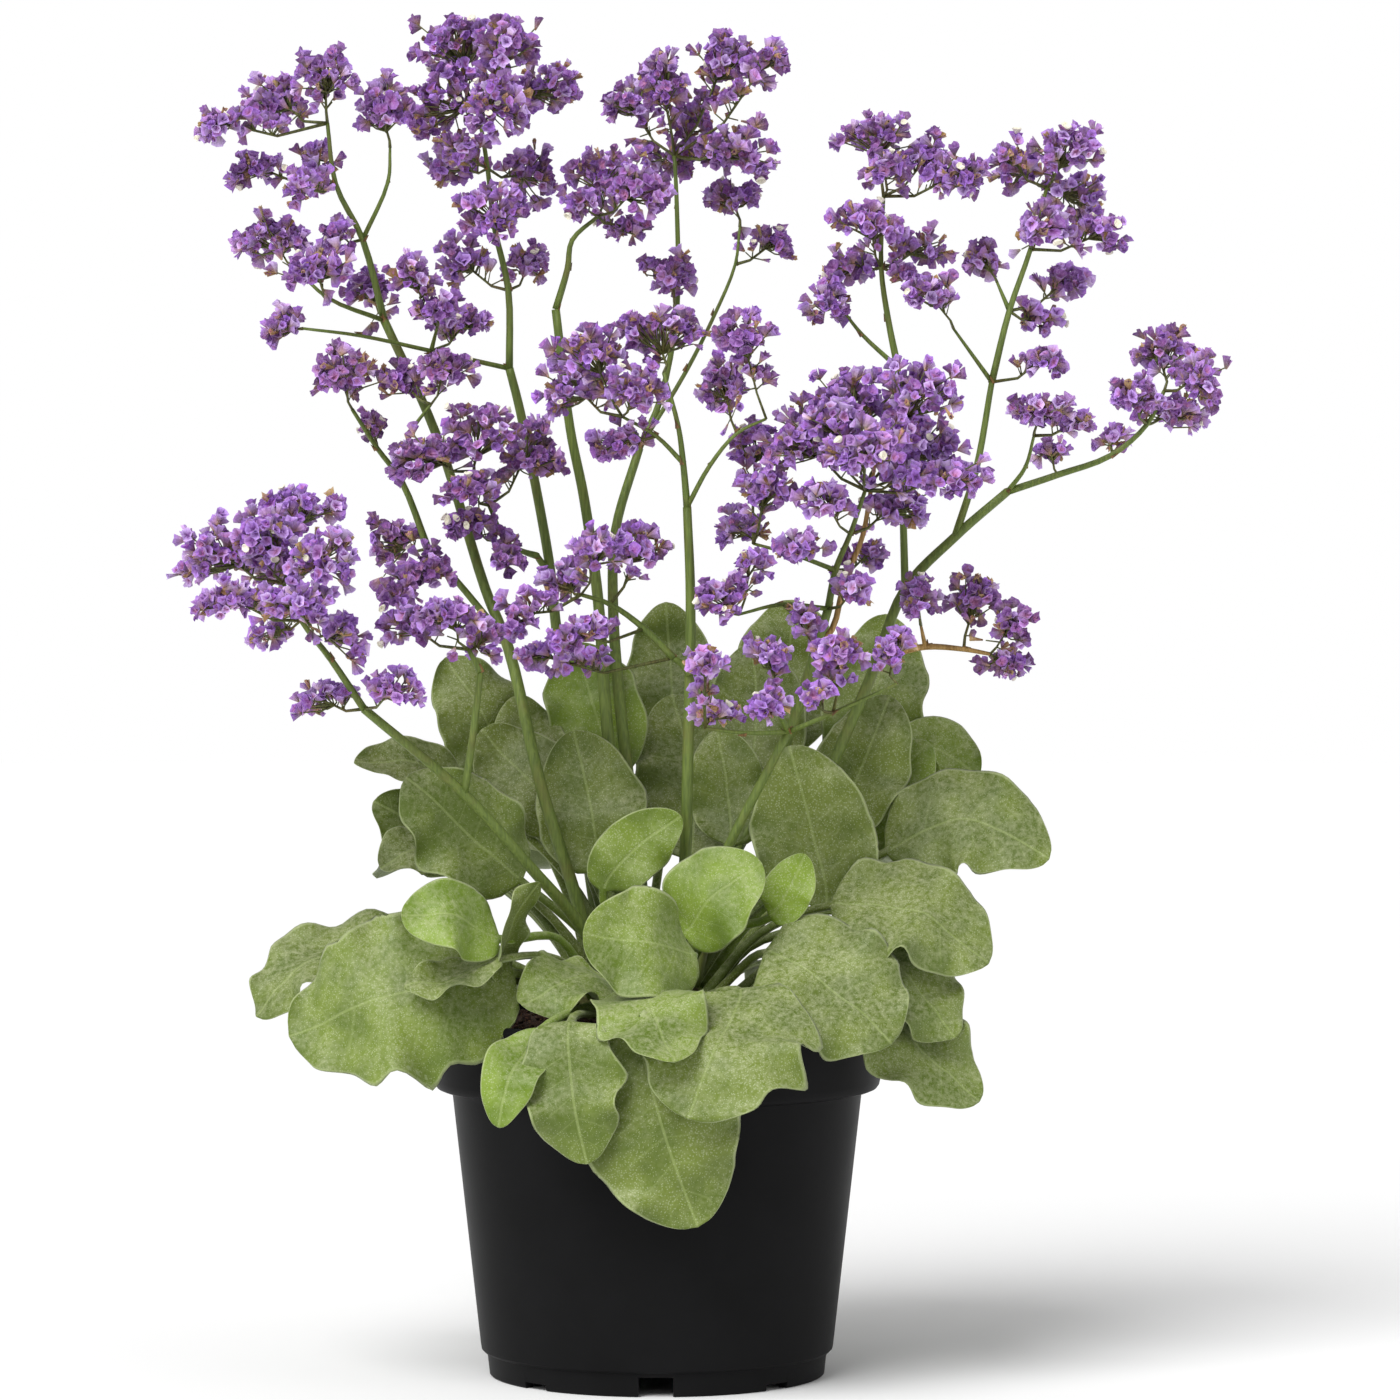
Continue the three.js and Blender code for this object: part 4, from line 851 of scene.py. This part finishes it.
# branches, then tufts as centre and half sizes in mm, then how dark and how dry the flowers are
panicles = [
    ([[(-118, -67.5, 279), (-131, -72, 299), (-143, -74, 315), (-150, -75, 330)],
      [(-131, -72, 299), (-138, -86, 309)]],
     [(-178, -70, 341, 17, 16, 16), (-155, -88, 347, 17, 16, 17), (-131, -100, 339, 16, 15, 15),
      (-144, -52, 361, 18, 16, 10), (-171, -96, 323, 17, 14, 10), (-142, -112, 322, 16, 13, 11),
      (-125, -86, 309, 10, 12, 13), (-156, -62, 309, 10, 10, 7), (-137, -60, 281, 11, 11, 10),
      (-104, -88, 287, 12, 11, 10), (-157, -48, 335, 14, 12, 12)], 0.05, 0.05),
    ([[(-71, -63, 294), (-76, -63, 303)]],
     [(-103, -52, 313, 11, 11, 10), (-84, -72, 317, 15, 12, 9), (-70, -50, 305, 9, 10, 11)], 0.3, 0.1),
    ([[(-115, 28, 440), (-124, 27, 474), (-135, 22, 497), (-138, 16, 522)],
      [(-124, 27, 474), (-113, 22, 498), (-112, 19, 512)],
      [(-115, 28, 440), (-138, 14, 449), (-152, 16, 462)]],
     [(-183, 4, 520, 10, 10, 9), (-161, 34, 532, 14, 14, 14), (-138, -1, 540, 14, 14, 14),
      (-169, 24, 503, 13, 11, 9), (-149, -2, 493, 8, 9, 9), (-146, 42, 511, 8, 9, 6),
      (-115, 18, 528, 13, 12, 17), (-163, 30, 474, 19, 14, 12), (-142, -8, 460, 18, 14, 12),
      (-122, 38, 454, 11, 10, 10), (-134, 10, 474, 9, 9, 9)], 0.35, 0.1),
    ([[(-96, 14, 344), (-107, 15, 372), (-117, 9, 386), (-127, 3, 402)],
      [(-107, 15, 372), (-103, 8, 392), (-94, 0, 404)]],
     [(-130, -12, 416, 15, 14, 12), (-108, 8, 413, 11, 12, 11), (-87, -14, 419, 15, 13, 9),
      (-120, 16, 396, 7, 8, 7), (-112, 26, 345, 12, 12, 14), (-93, -14, 334, 12, 12, 9),
      (-107, -24, 325, 10, 10, 7)], 0.75, 0.15),
    ([[(-62.5, 32, 420), (-63, 34, 453), (-69, 38, 480), (-72, 42, 505), (-76, 44, 530)],
      [(-62.5, 32, 420), (-95, 22, 427), (-124, 13, 433), (-148, 12, 436)],
      [(-95, 22, 427), (-92, 14, 437)]],
     [(-86, 62, 559, 19, 18, 16), (-62, 34, 556, 14, 14, 14), (-45, 58, 540, 14, 14, 16),
      (-91, 52, 531, 17, 15, 18), (-67, 18, 527, 17, 16, 16), (-88, 60, 506, 13, 13, 10),
      (-68, 22, 485, 16, 14, 14), (-52, 60, 502, 11, 12, 14), (-84, 52, 465, 11, 12, 13),
      (-54, 60, 466, 9, 10, 9), (-102, 3, 458, 10, 11, 10), (-91, 2, 443, 12, 10, 9),
      (-79, 34, 440, 11, 10, 7), (-156, 14, 437, 8, 8, 11), (-84, 30, 512, 11, 10, 10)], 0.4, 0.1),
    ([[(-43, 34, 445), (-38, 33, 462), (-36, 32, 474), (-25, 30, 484)]],
     [(-24, 38, 503, 14, 13, 11), (-7, 12, 494, 14, 13, 15), (-33, 14, 488, 8, 9, 7),
      (-14, 42, 479, 13, 10, 8)], 0.5, 0.1),
    ([[(-8, 57, 387), (1, 62, 408), (8, 64, 446), (8, 65, 490), (7, 66, 512)],
      [(-8, 57, 387), (12, 65, 420), (24, 70, 444), (33, 73, 466), (35, 72, 482)]],
     [(-14, 86, 536, 13, 13, 11), (2, 56, 541, 12, 13, 17), (15, 90, 528, 9, 11, 10),
      (30, 74, 554, 16, 15, 15), (48, 54, 552, 10, 11, 9), (5, 80, 511, 13, 12, 9),
      (35, 56, 513, 15, 14, 13), (32, 88, 496, 15, 12, 9), (51, 84, 476, 8, 10, 10),
      (6, 46, 460, 13, 12, 11), (26, 70, 512, 10, 9, 9)], 0.5, 0.15),
    ([[(12.6, -28.5, 361), (11, -31, 379), (9, -32, 394), (3, -34, 416)],
      [(11, -31, 379), (0, -34, 390), (-14, -34, 398)],
      [(12.6, -28.5, 361), (22, -36, 378), (33, -40, 391), (45, -39, 397)]],
     [(-27, -48, 424, 18, 16, 13), (2, -22, 433, 20, 17, 12), (35, -50, 430, 14, 14, 12),
      (-36, -18, 410, 14, 14, 15), (-8, -58, 408, 16, 14, 12), (27, -26, 412, 12, 12, 14),
      (-14, -30, 388, 13, 12, 9)], 0.45, 0.15),
    ([[(7, -27.5, 299), (-5, -28, 311), (-19, -28, 321), (-31, -29, 325)]],
     [(-24, -46, 343, 13, 12, 11), (-7, -22, 345, 12, 11, 10), (-39, -16, 329, 10, 11, 12),
      (-35, -48, 307, 11, 11, 9), (-56, -38, 315, 10, 10, 11), (-51, -16, 299, 11, 10, 7)], 0.25, 0.1),
    ([[(54, -44.6, 269), (49, -55, 279)],
      [(54, -44.6, 269), (36, -56, 269), (20, -61, 271)],
      [(54, -44.6, 269), (72, -54, 277), (98, -57, 289)]],
     [(20, -78, 298, 11, 11, 9), (46, -48, 301, 10, 11, 8), (74, -70, 302, 13, 12, 9),
      (95, -46, 302, 9, 10, 11), (24, -50, 277, 11, 9, 7), (44, -80, 280, 8, 9, 6),
      (62, -74, 284, 6, 7, 5)], 0.15, 0.6),
    ([[(71, -11.5, 319), (74, -14, 335), (80, -18, 350), (86, -24, 368)],
      [(71, -11.5, 319), (52, -24, 321), (34, -38, 317)],
      [(74, -14, 335), (58, -20, 341), (40, -16, 346)]],
     [(59, -36, 388, 16, 15, 17), (80, -14, 405, 20, 17, 15), (108, -38, 407, 18, 16, 14),
      (85, -58, 384, 20, 15, 14), (112, -10, 386, 17, 14, 16), (41, 2, 388, 15, 13, 12),
      (122, -36, 373, 16, 13, 10), (100, -8, 362, 16, 12, 10), (45, -30, 368, 15, 12, 9),
      (68, -42, 364, 13, 12, 10), (25, -46, 322, 12, 11, 12), (35, -2, 353, 11, 11, 9),
      (39, -36, 338, 9, 9, 7), (59, -38, 345, 11, 10, 7), (62, -30, 313, 7, 8, 9),
      (82, -34, 327, 8, 8, 8), (89, 2, 341, 7, 7, 9),
      (98, -36, 391, 12, 10, 10), (70, -50, 396, 11, 10, 9), (104, -42, 374, 10, 9, 8)], 0.15, 0.08),
    ([[(101, 22, 420), (97, 23, 440), (94, 23, 462), (95, 24, 492)],
      [(101, 22, 420), (86, 24, 434), (78, 24, 444)]],
     [(93, 38, 518, 17, 15, 11), (96, 10, 503, 11, 12, 10), (115, 42, 509, 9, 10, 12),
      (127, 12, 499, 14, 13, 12), (88, 8, 480, 16, 14, 11), (112, 40, 471, 14, 12, 9),
      (80, 36, 463, 13, 12, 10), (71, 12, 446, 11, 11, 10), (104, 20, 459, 9, 9, 9)], 0.35, 0.15),
    ([[(140.5, 22.3, 414), (148, 26, 444), (157, 28, 470), (164, 31, 496)],
      [(140.5, 22.3, 414), (124, 14, 436)],
      [(148, 26, 444), (143, 28, 456)]],
     [(172, 20, 511, 16, 15, 13), (152, 50, 505, 10, 12, 12), (178, 46, 492, 14, 14, 14),
      (187, 18, 475, 10, 10, 10), (162, 12, 479, 13, 12, 10), (175, 46, 458, 9, 10, 8),
      (161, 42, 440, 10, 10, 8), (163, 12, 423, 9, 9, 7), (138, 40, 466, 10, 10, 10),
      (114, 2, 450, 13, 12, 10), (147, 24, 508, 9, 9, 8)], 0.35, 0.12),
    ([[(147, 20, 368), (168, 18, 375), (190, 15, 383), (205, 13, 396), (212, 11, 410)],
      [(147, 20, 368), (154, 12, 378), (157, 2, 391)]],
     [(212, 24, 427, 15, 14, 12), (226, -4, 414, 11, 12, 15), (198, -4, 408, 13, 13, 10),
      (218, 24, 401, 15, 13, 10), (191, 28, 390, 7, 8, 6), (159, -8, 401, 15, 13, 8),
      (176, -4, 396, 8, 9, 7), (165, 27, 385, 9, 9, 7)], 0.4, 0.15),
    ([[(98, 9, 300), (112, 7, 303), (128, 5, 302), (139, 4, 300)],
      [(112, 7, 303), (110, 3, 312)]],
     [(108, -12, 323, 9, 9, 12), (133, 14, 323, 13, 11, 14), (147, -9, 312, 8, 9, 11),
      (145, 10, 296, 11, 10, 7)], 0.65, 0.35),
    ([[(-51, 34, 341), (-57, 24, 343), (-64, 12, 347)],
      [(-64, 12, 347), (-70, 2, 362), (-76, -4, 376)]],
     [(-98, -8, 381, 15, 13, 14), (-73, -12, 391, 17, 15, 14), (-52, 13, 384, 14, 13, 15),
      (-78, -18, 369, 16, 12, 8), (-80, -7, 354, 12, 9, 9), (-62, -8, 339, 9, 9, 8)], 0.7, 0.15),
]

tuftShape = {
    "crumple": 0.4, "kinds": (0.6, 0.84), "size": (0.74, 1.1), "footDepth": 4.6,
    "feeder": (0.75, 0.6, 0.5), "spoke": (0.42, 0.34, 0.28), "waysideTwig": (0.34, 0.28),
    "patch": 78, "spread": 1.09, "fan": 46, "perSpike": (2, 5), "depth": (0.42, 0.98), "lumps": 0.35,
    "strays": 0.08,
    "below": -0.52, "wayside": 2.2, "cream": 0.03, "hub": 0.62,
}
trunkShape = {"main": (1.6, 0.8), "side": (1.1, 0.6), "sides": 8, "twigSides": 4, "steps": 4}
driedPanicle = 15  # this spray stands on dead straw-coloured branches
deadStalk = [(67, -9, 304), (73, -7, 311), (78, -8, 331), (85, -10, 348), (88, -12, 364), (90, -14, 378)]


def towards(direction, spread, rng):
    # a unit direction near the given one
    jitter = Vector((rng.gauss(0, 1), rng.gauss(0, 1), rng.gauss(0, 1))) * spread
    return (direction.normalized() + jitter).normalized()


def turnTo(direction, rng):
    spin = Matrix.Rotation(rng.random() * 6.3, 4, "Z")
    return direction.to_track_quat("Z", "Y").to_matrix().to_4x4() @ spin


def growSpikelet(foot, outward, count, rng, placements):
    # one calyx straight on and the others fanned round it, each pressed out of round in its own way
    start = rng.random() * 6.3
    sideways = outward.orthogonal().normalized()
    for k in range(count):
        aim = towards(outward, 0.14, rng)
        if k:
            tilt = math.radians(tuftShape["fan"] * rng.uniform(0.7, 1.3))
            around = Matrix.Rotation(start + k * 2 * math.pi / (count - 1), 3, outward) @ sideways
            aim = outward * math.cos(tilt) + around * math.sin(tilt)
        size = rng.uniform(*tuftShape["size"])
        press = Matrix.Diagonal((size * rng.uniform(0.75, 1.2), size * rng.uniform(0.6, 1.1), size, 1))
        pick = rng.random()
        kind = sum(pick >= limit for limit in tuftShape["kinds"])
        place = Matrix.Translation(foot + outward * rng.uniform(-1.0, 2.0)) @ turnTo(aim, rng) @ press
        placements.append((kind, place, kind == 0 and rng.random() < tuftShape["cream"]))


def growTuft(tuft, forks, rng, twigs, placements):
    # twigs gets lines with radii, placements gets (kind, matrix, isCream)
    centre = Vector(tuft[:3])
    a, b, c = [half * tuftShape["spread"] for half in tuft[3:]]
    fork = min(forks, key=lambda f: (f - centre).length + 1.5 * max(0.0, f.z - centre.z))
    inward = fork - centre
    hub = centre + inward.normalized() * min(inward.length * 0.6, tuftShape["hub"] * (a + b + c) / 3)
    bend = fork.lerp(hub, 0.55) + Vector((rng.gauss(0, 1), rng.gauss(0, 1), -0.12 * (hub - fork).length))
    twigs.append(([fork, bend, hub], tuftShape["feeder"]))
    for k in range(int((hub - fork).length / tuftShape["wayside"])):
        root = bend.lerp(hub, rng.random())
        aim = towards(Vector((0, 0, 0.7)), 0.7, rng)
        foot = root + aim * rng.uniform(2.5, 6)
        twigs.append(([root, foot], tuftShape["waysideTwig"]))
        growSpikelet(foot, aim, rng.randint(1, 3), rng, placements)
    upward = (Vector((0, 0, 0.8)) - inward.normalized() * 0.6).normalized()
    area = 4 * math.pi * ((a * b) ** 1.6 / 3 + (a * c) ** 1.6 / 3 + (b * c) ** 1.6 / 3) ** (1 / 1.6)
    total = int(max(4, area * 0.72 / tuftShape["patch"]) / 0.7)
    golden = math.pi * (3 - math.sqrt(5))
    for i in range(total):
        level = 1 - 2 * (i + 0.5) / total
        ring = math.sqrt(1 - level * level)
        even = Vector((ring * math.cos(golden * i), ring * math.sin(golden * i), level))
        direction = towards(even, 0.2, rng)
        if direction.dot(upward) < tuftShape["below"]:
            continue
        stray = rng.random() < tuftShape["strays"]
        lump = 1 + tuftShape["lumps"] * noise.noise(direction * 1.9 + centre * 0.7)
        depth = rng.uniform(*tuftShape["depth"]) * lump * (rng.uniform(1.06, 1.16) if stray else 1)
        shell = centre + Vector((direction.x * a, direction.y * b, direction.z * c)) * depth
        outward = Vector((direction.x / a, direction.y / b, direction.z / c)).normalized()
        outward = towards(outward + Vector((0, 0, 0.35)), 0.18, rng)
        foot = shell - outward * tuftShape["footDepth"]
        middle = hub.lerp(foot, 0.5) + Vector((rng.gauss(0, 0.8), rng.gauss(0, 0.8), rng.gauss(0, 0.8)))
        twigs.append(([hub, middle, foot + outward * 1.2], tuftShape["spoke"]))
        count = rng.randint(1, 2) if stray else rng.randint(*tuftShape["perSpike"])
        growSpikelet(foot, outward, count, rng, placements)


def tintsFor(kind, rng, dark, dry):
    # foot, rim and well: straw, the flower's own violet, and a reddish throat
    rim = linear(rng.choice(paper["dark"] if rng.random() < dark else paper["rims"]))
    if rng.random() < (0, dry * 0.5, 0.4 + dry)[kind]:
        rim = linear(rng.choice(paper["dry"]))
    fade = rng.uniform(0.8, 1.2)
    tube, throat = linear(rng.choice(paper["tube"])), linear(rng.choice(paper["throat"]))
    return [[min(1.0, c * fade) for c in colour[:3]] + [1.0] for colour in (tube, rim, throat)]


def makeBract():
    # small dry scale that clasps each fork and points along the branch
    deselect()
    bpy.ops.mesh.primitive_cone_add(vertices=8, radius1=0.8, radius2=0.1, depth=3.4, location=(0.9, 0, 1.2))
    scale = bpy.context.object
    bpy.ops.object.transform_apply(location=True, rotation=True, scale=True)
    for vertex in scale.data.vertices:
        vertex.co.y *= 1.4
        vertex.co.x += 0.08 * vertex.co.z ** 2
    return scale


bract = makeBract()


def makeTwigs(name, lines, sides):
    # many thin tubes in one curve, turned into a closed mesh
    deselect()
    bpy.ops.curve.primitive_nurbs_path_add()
    twig = bpy.context.object
    twig.name = name
    twig.data.splines.clear()
    twig.data.dimensions = "3D"
    twig.data.bevel_depth = mm
    twig.data.bevel_resolution = (sides - 4) // 2
    twig.data.use_fill_caps = True
    for points, radii in lines:
        spline = twig.data.splines.new("POLY")
        spline.points.add(len(points) - 1)
        for corner, point, radius in zip(spline.points, points, radii):
            corner.co = (*(point * mm), 1)
            corner.radius = radius
    select(twig)
    bpy.ops.object.convert(target="MESH")
    closeSkin(0.002, openEnds=False)
    bpy.ops.object.shade_smooth()
    return bpy.context.object


def makeFlowers(number, placements, rng, dark, dry):
    parts = []
    for kind, base in enumerate(floretKinds):
        chosen = [place for pick, place, _ in placements if pick == kind]
        if not chosen:
            continue
        rings = [i // floretShape["sides"] for i in range(len(base.data.vertices))]
        tints = []
        for _ in chosen:
            colours = tintsFor(kind, rng, dark, dry)
            tints.extend(colours[ring] for ring in rings)
        parts.append(copyMany("floretCopies", base, chosen, rng, tuftShape["crumple"], tints, 1.0))
    creams = [place for _, place, isCream in placements if isCream]
    if creams:
        cream = [list(linear(paper["cream"]))] * (len(corolla.data.vertices) * len(creams))
        parts.append(copyMany("corollaCopies", corolla, creams, rng, 0.12, cream))
    flowers = joinPieces(parts)
    flowers.name = nodeName("panicleFlowers", number)
    finished(flowers, calyxPaper, "flowers", nodeName("panicle", number))


def makePanicle(number, branches, tufts, dark, dry):
    rng = random.Random(100 + number)
    lines = [[Vector(p) for p in branch] for branch in branches]
    trunks, bracts = [], []
    for i, line in enumerate(lines):
        count = trunkShape["steps"] * (len(line) - 1)
        points = [splinePoint(line, k / count) for k in range(count + 1)]
        thick, thin = trunkShape["side" if i else "main"]
        trunks.append((points, [thick + (thin - thick) * k / count for k in range(count + 1)]))
        for k in range(len(line) - 1):
            bracts.append(Matrix.Translation(line[k]) @ turnTo(line[k + 1] - line[k], rng))
    forks = [point for line in lines for point in line]
    twigs, placements = [], []
    for tuft in tufts:
        growTuft(tuft, forks, rng, twigs, placements)
    trunkPiece = makeTwigs(nodeName("panicleTrunk", number), trunks, trunkShape["sides"])
    trunkPaint = stalkTan if number == driedPanicle else stalkGreen
    finished(trunkPiece, trunkPaint, "stem", nodeName("panicle", number))
    twigPiece = makeTwigs(nodeName("panicleTwigs", number), twigs, trunkShape["twigSides"])
    finished(twigPiece, twigOlive, "stem", nodeName("panicle", number))
    scales = copyMany(nodeName("panicleBracts", number), bract, bracts, rng, 0.1)
    finished(scales, bractBrown, "stem", nodeName("panicle", number))
    makeFlowers(number, placements, rng, dark, dry)
    return len(placements)


florets = 0
for i, (branches, tufts, dark, dry) in enumerate(panicles):
    florets += makePanicle(i + 1, branches, tufts, dark, dry)
for model in floretKinds + [corolla, bract]:
    bpy.data.objects.remove(model)
deadPoints = [Vector(p) for p in deadStalk]
deadLine = [splinePoint(deadPoints, k / 16) for k in range(17)]
deadPiece = makeTwigs("deadStalk", [(deadLine, [1.5 - 0.04 * k for k in range(17)])], trunkShape["sides"])
finished(deadPiece, stalkTan, "stem", "panicle_11")
print("panicles made,", florets, "florets")


studio = {
    "camera": (17.9, -2310, 339), "pitch": 1.44, "lens": 142.6,
    "ambient": 0.43, "sun": 2.7, "sunAngle": 38, "side": 5.0,
}


def makeFloor():
    # white painted studio floor, rolled matt
    material, tree, place = startMaterial("whiteStudioPaint", {"Roughness": 0.9, "IOR": 1.45,
                                                  "Specular IOR Level": 0.1})
    roller = addNode(tree, "TexNoise", {"Scale": 1000 / 400, "Detail": 2.0}, {"Vector": place})
    colour = addNode(tree, "Mix", {"data_type": "RGBA", 6: "#fafafa", 7: "#fdfdfd"}, {0: roller})
    endMaterial(material, {"Base Color": colour})
    deselect()
    bpy.ops.mesh.primitive_plane_add(size=14, location=(0, 0, -0.0002))
    floor = bpy.context.object
    floor.name = "studioFloor"
    bpy.ops.object.transform_apply(location=True, rotation=True, scale=True)
    floor.data.materials.append(material)


def addLight(name, kind, place, power, spread):
    # spread is a sun's angle in degrees, or a softbox's width in metres
    deselect()
    bpy.ops.object.light_add(type=kind, location=place)
    lamp = bpy.context.object
    lamp.name = name
    lamp.data.energy = power
    if kind == "SUN":
        lamp.data.angle = math.radians(spread)
    else:
        lamp.data.size = spread
    lamp.rotation_euler = (Vector((0, 0, 0.25)) - Vector(place)).to_track_quat("-Z", "Y").to_euler()


def makeStudio():
    world = bpy.data.worlds.new("whiteStudio")
    bpy.context.scene.world = world
    world.use_nodes = True
    tree = world.node_tree
    # the backdrop shows white, and lights the plant less than it shows
    backdrop = addNode(tree, "LightPath", output="Is Camera Ray")
    strength = addNode(tree, "MapRange", {"To Min": studio["ambient"], "To Max": 1.0}, {"Value": backdrop})
    background = tree.nodes["Background"]
    background.inputs[0].default_value = linear("#ffffff")
    tree.links.new(strength, background.inputs[1])
    addLight("keySun", "SUN", (-1.0, -1.5, 2.2), studio["sun"], studio["sunAngle"])
    addLight("leftSoftbox", "AREA", (-1.6, -1.2, 0.5), studio["side"], 0.9)
    addLight("rightSoftbox", "AREA", (1.7, -0.9, 0.5), studio["side"], 0.9)


def makeCamera():
    deselect()
    bpy.ops.object.camera_add(location=Vector(studio["camera"]) * mm,
                              rotation=(math.radians(90 - studio["pitch"]), 0, 0))
    camera = bpy.context.object
    camera.name = "photoCamera"
    camera.data.sensor_width = 36
    camera.data.lens = studio["lens"]
    bpy.context.scene.camera = camera


makeFloor()
makeStudio()
makeCamera()
bpy.context.scene.view_settings.view_transform = "Standard"
print("studio made")
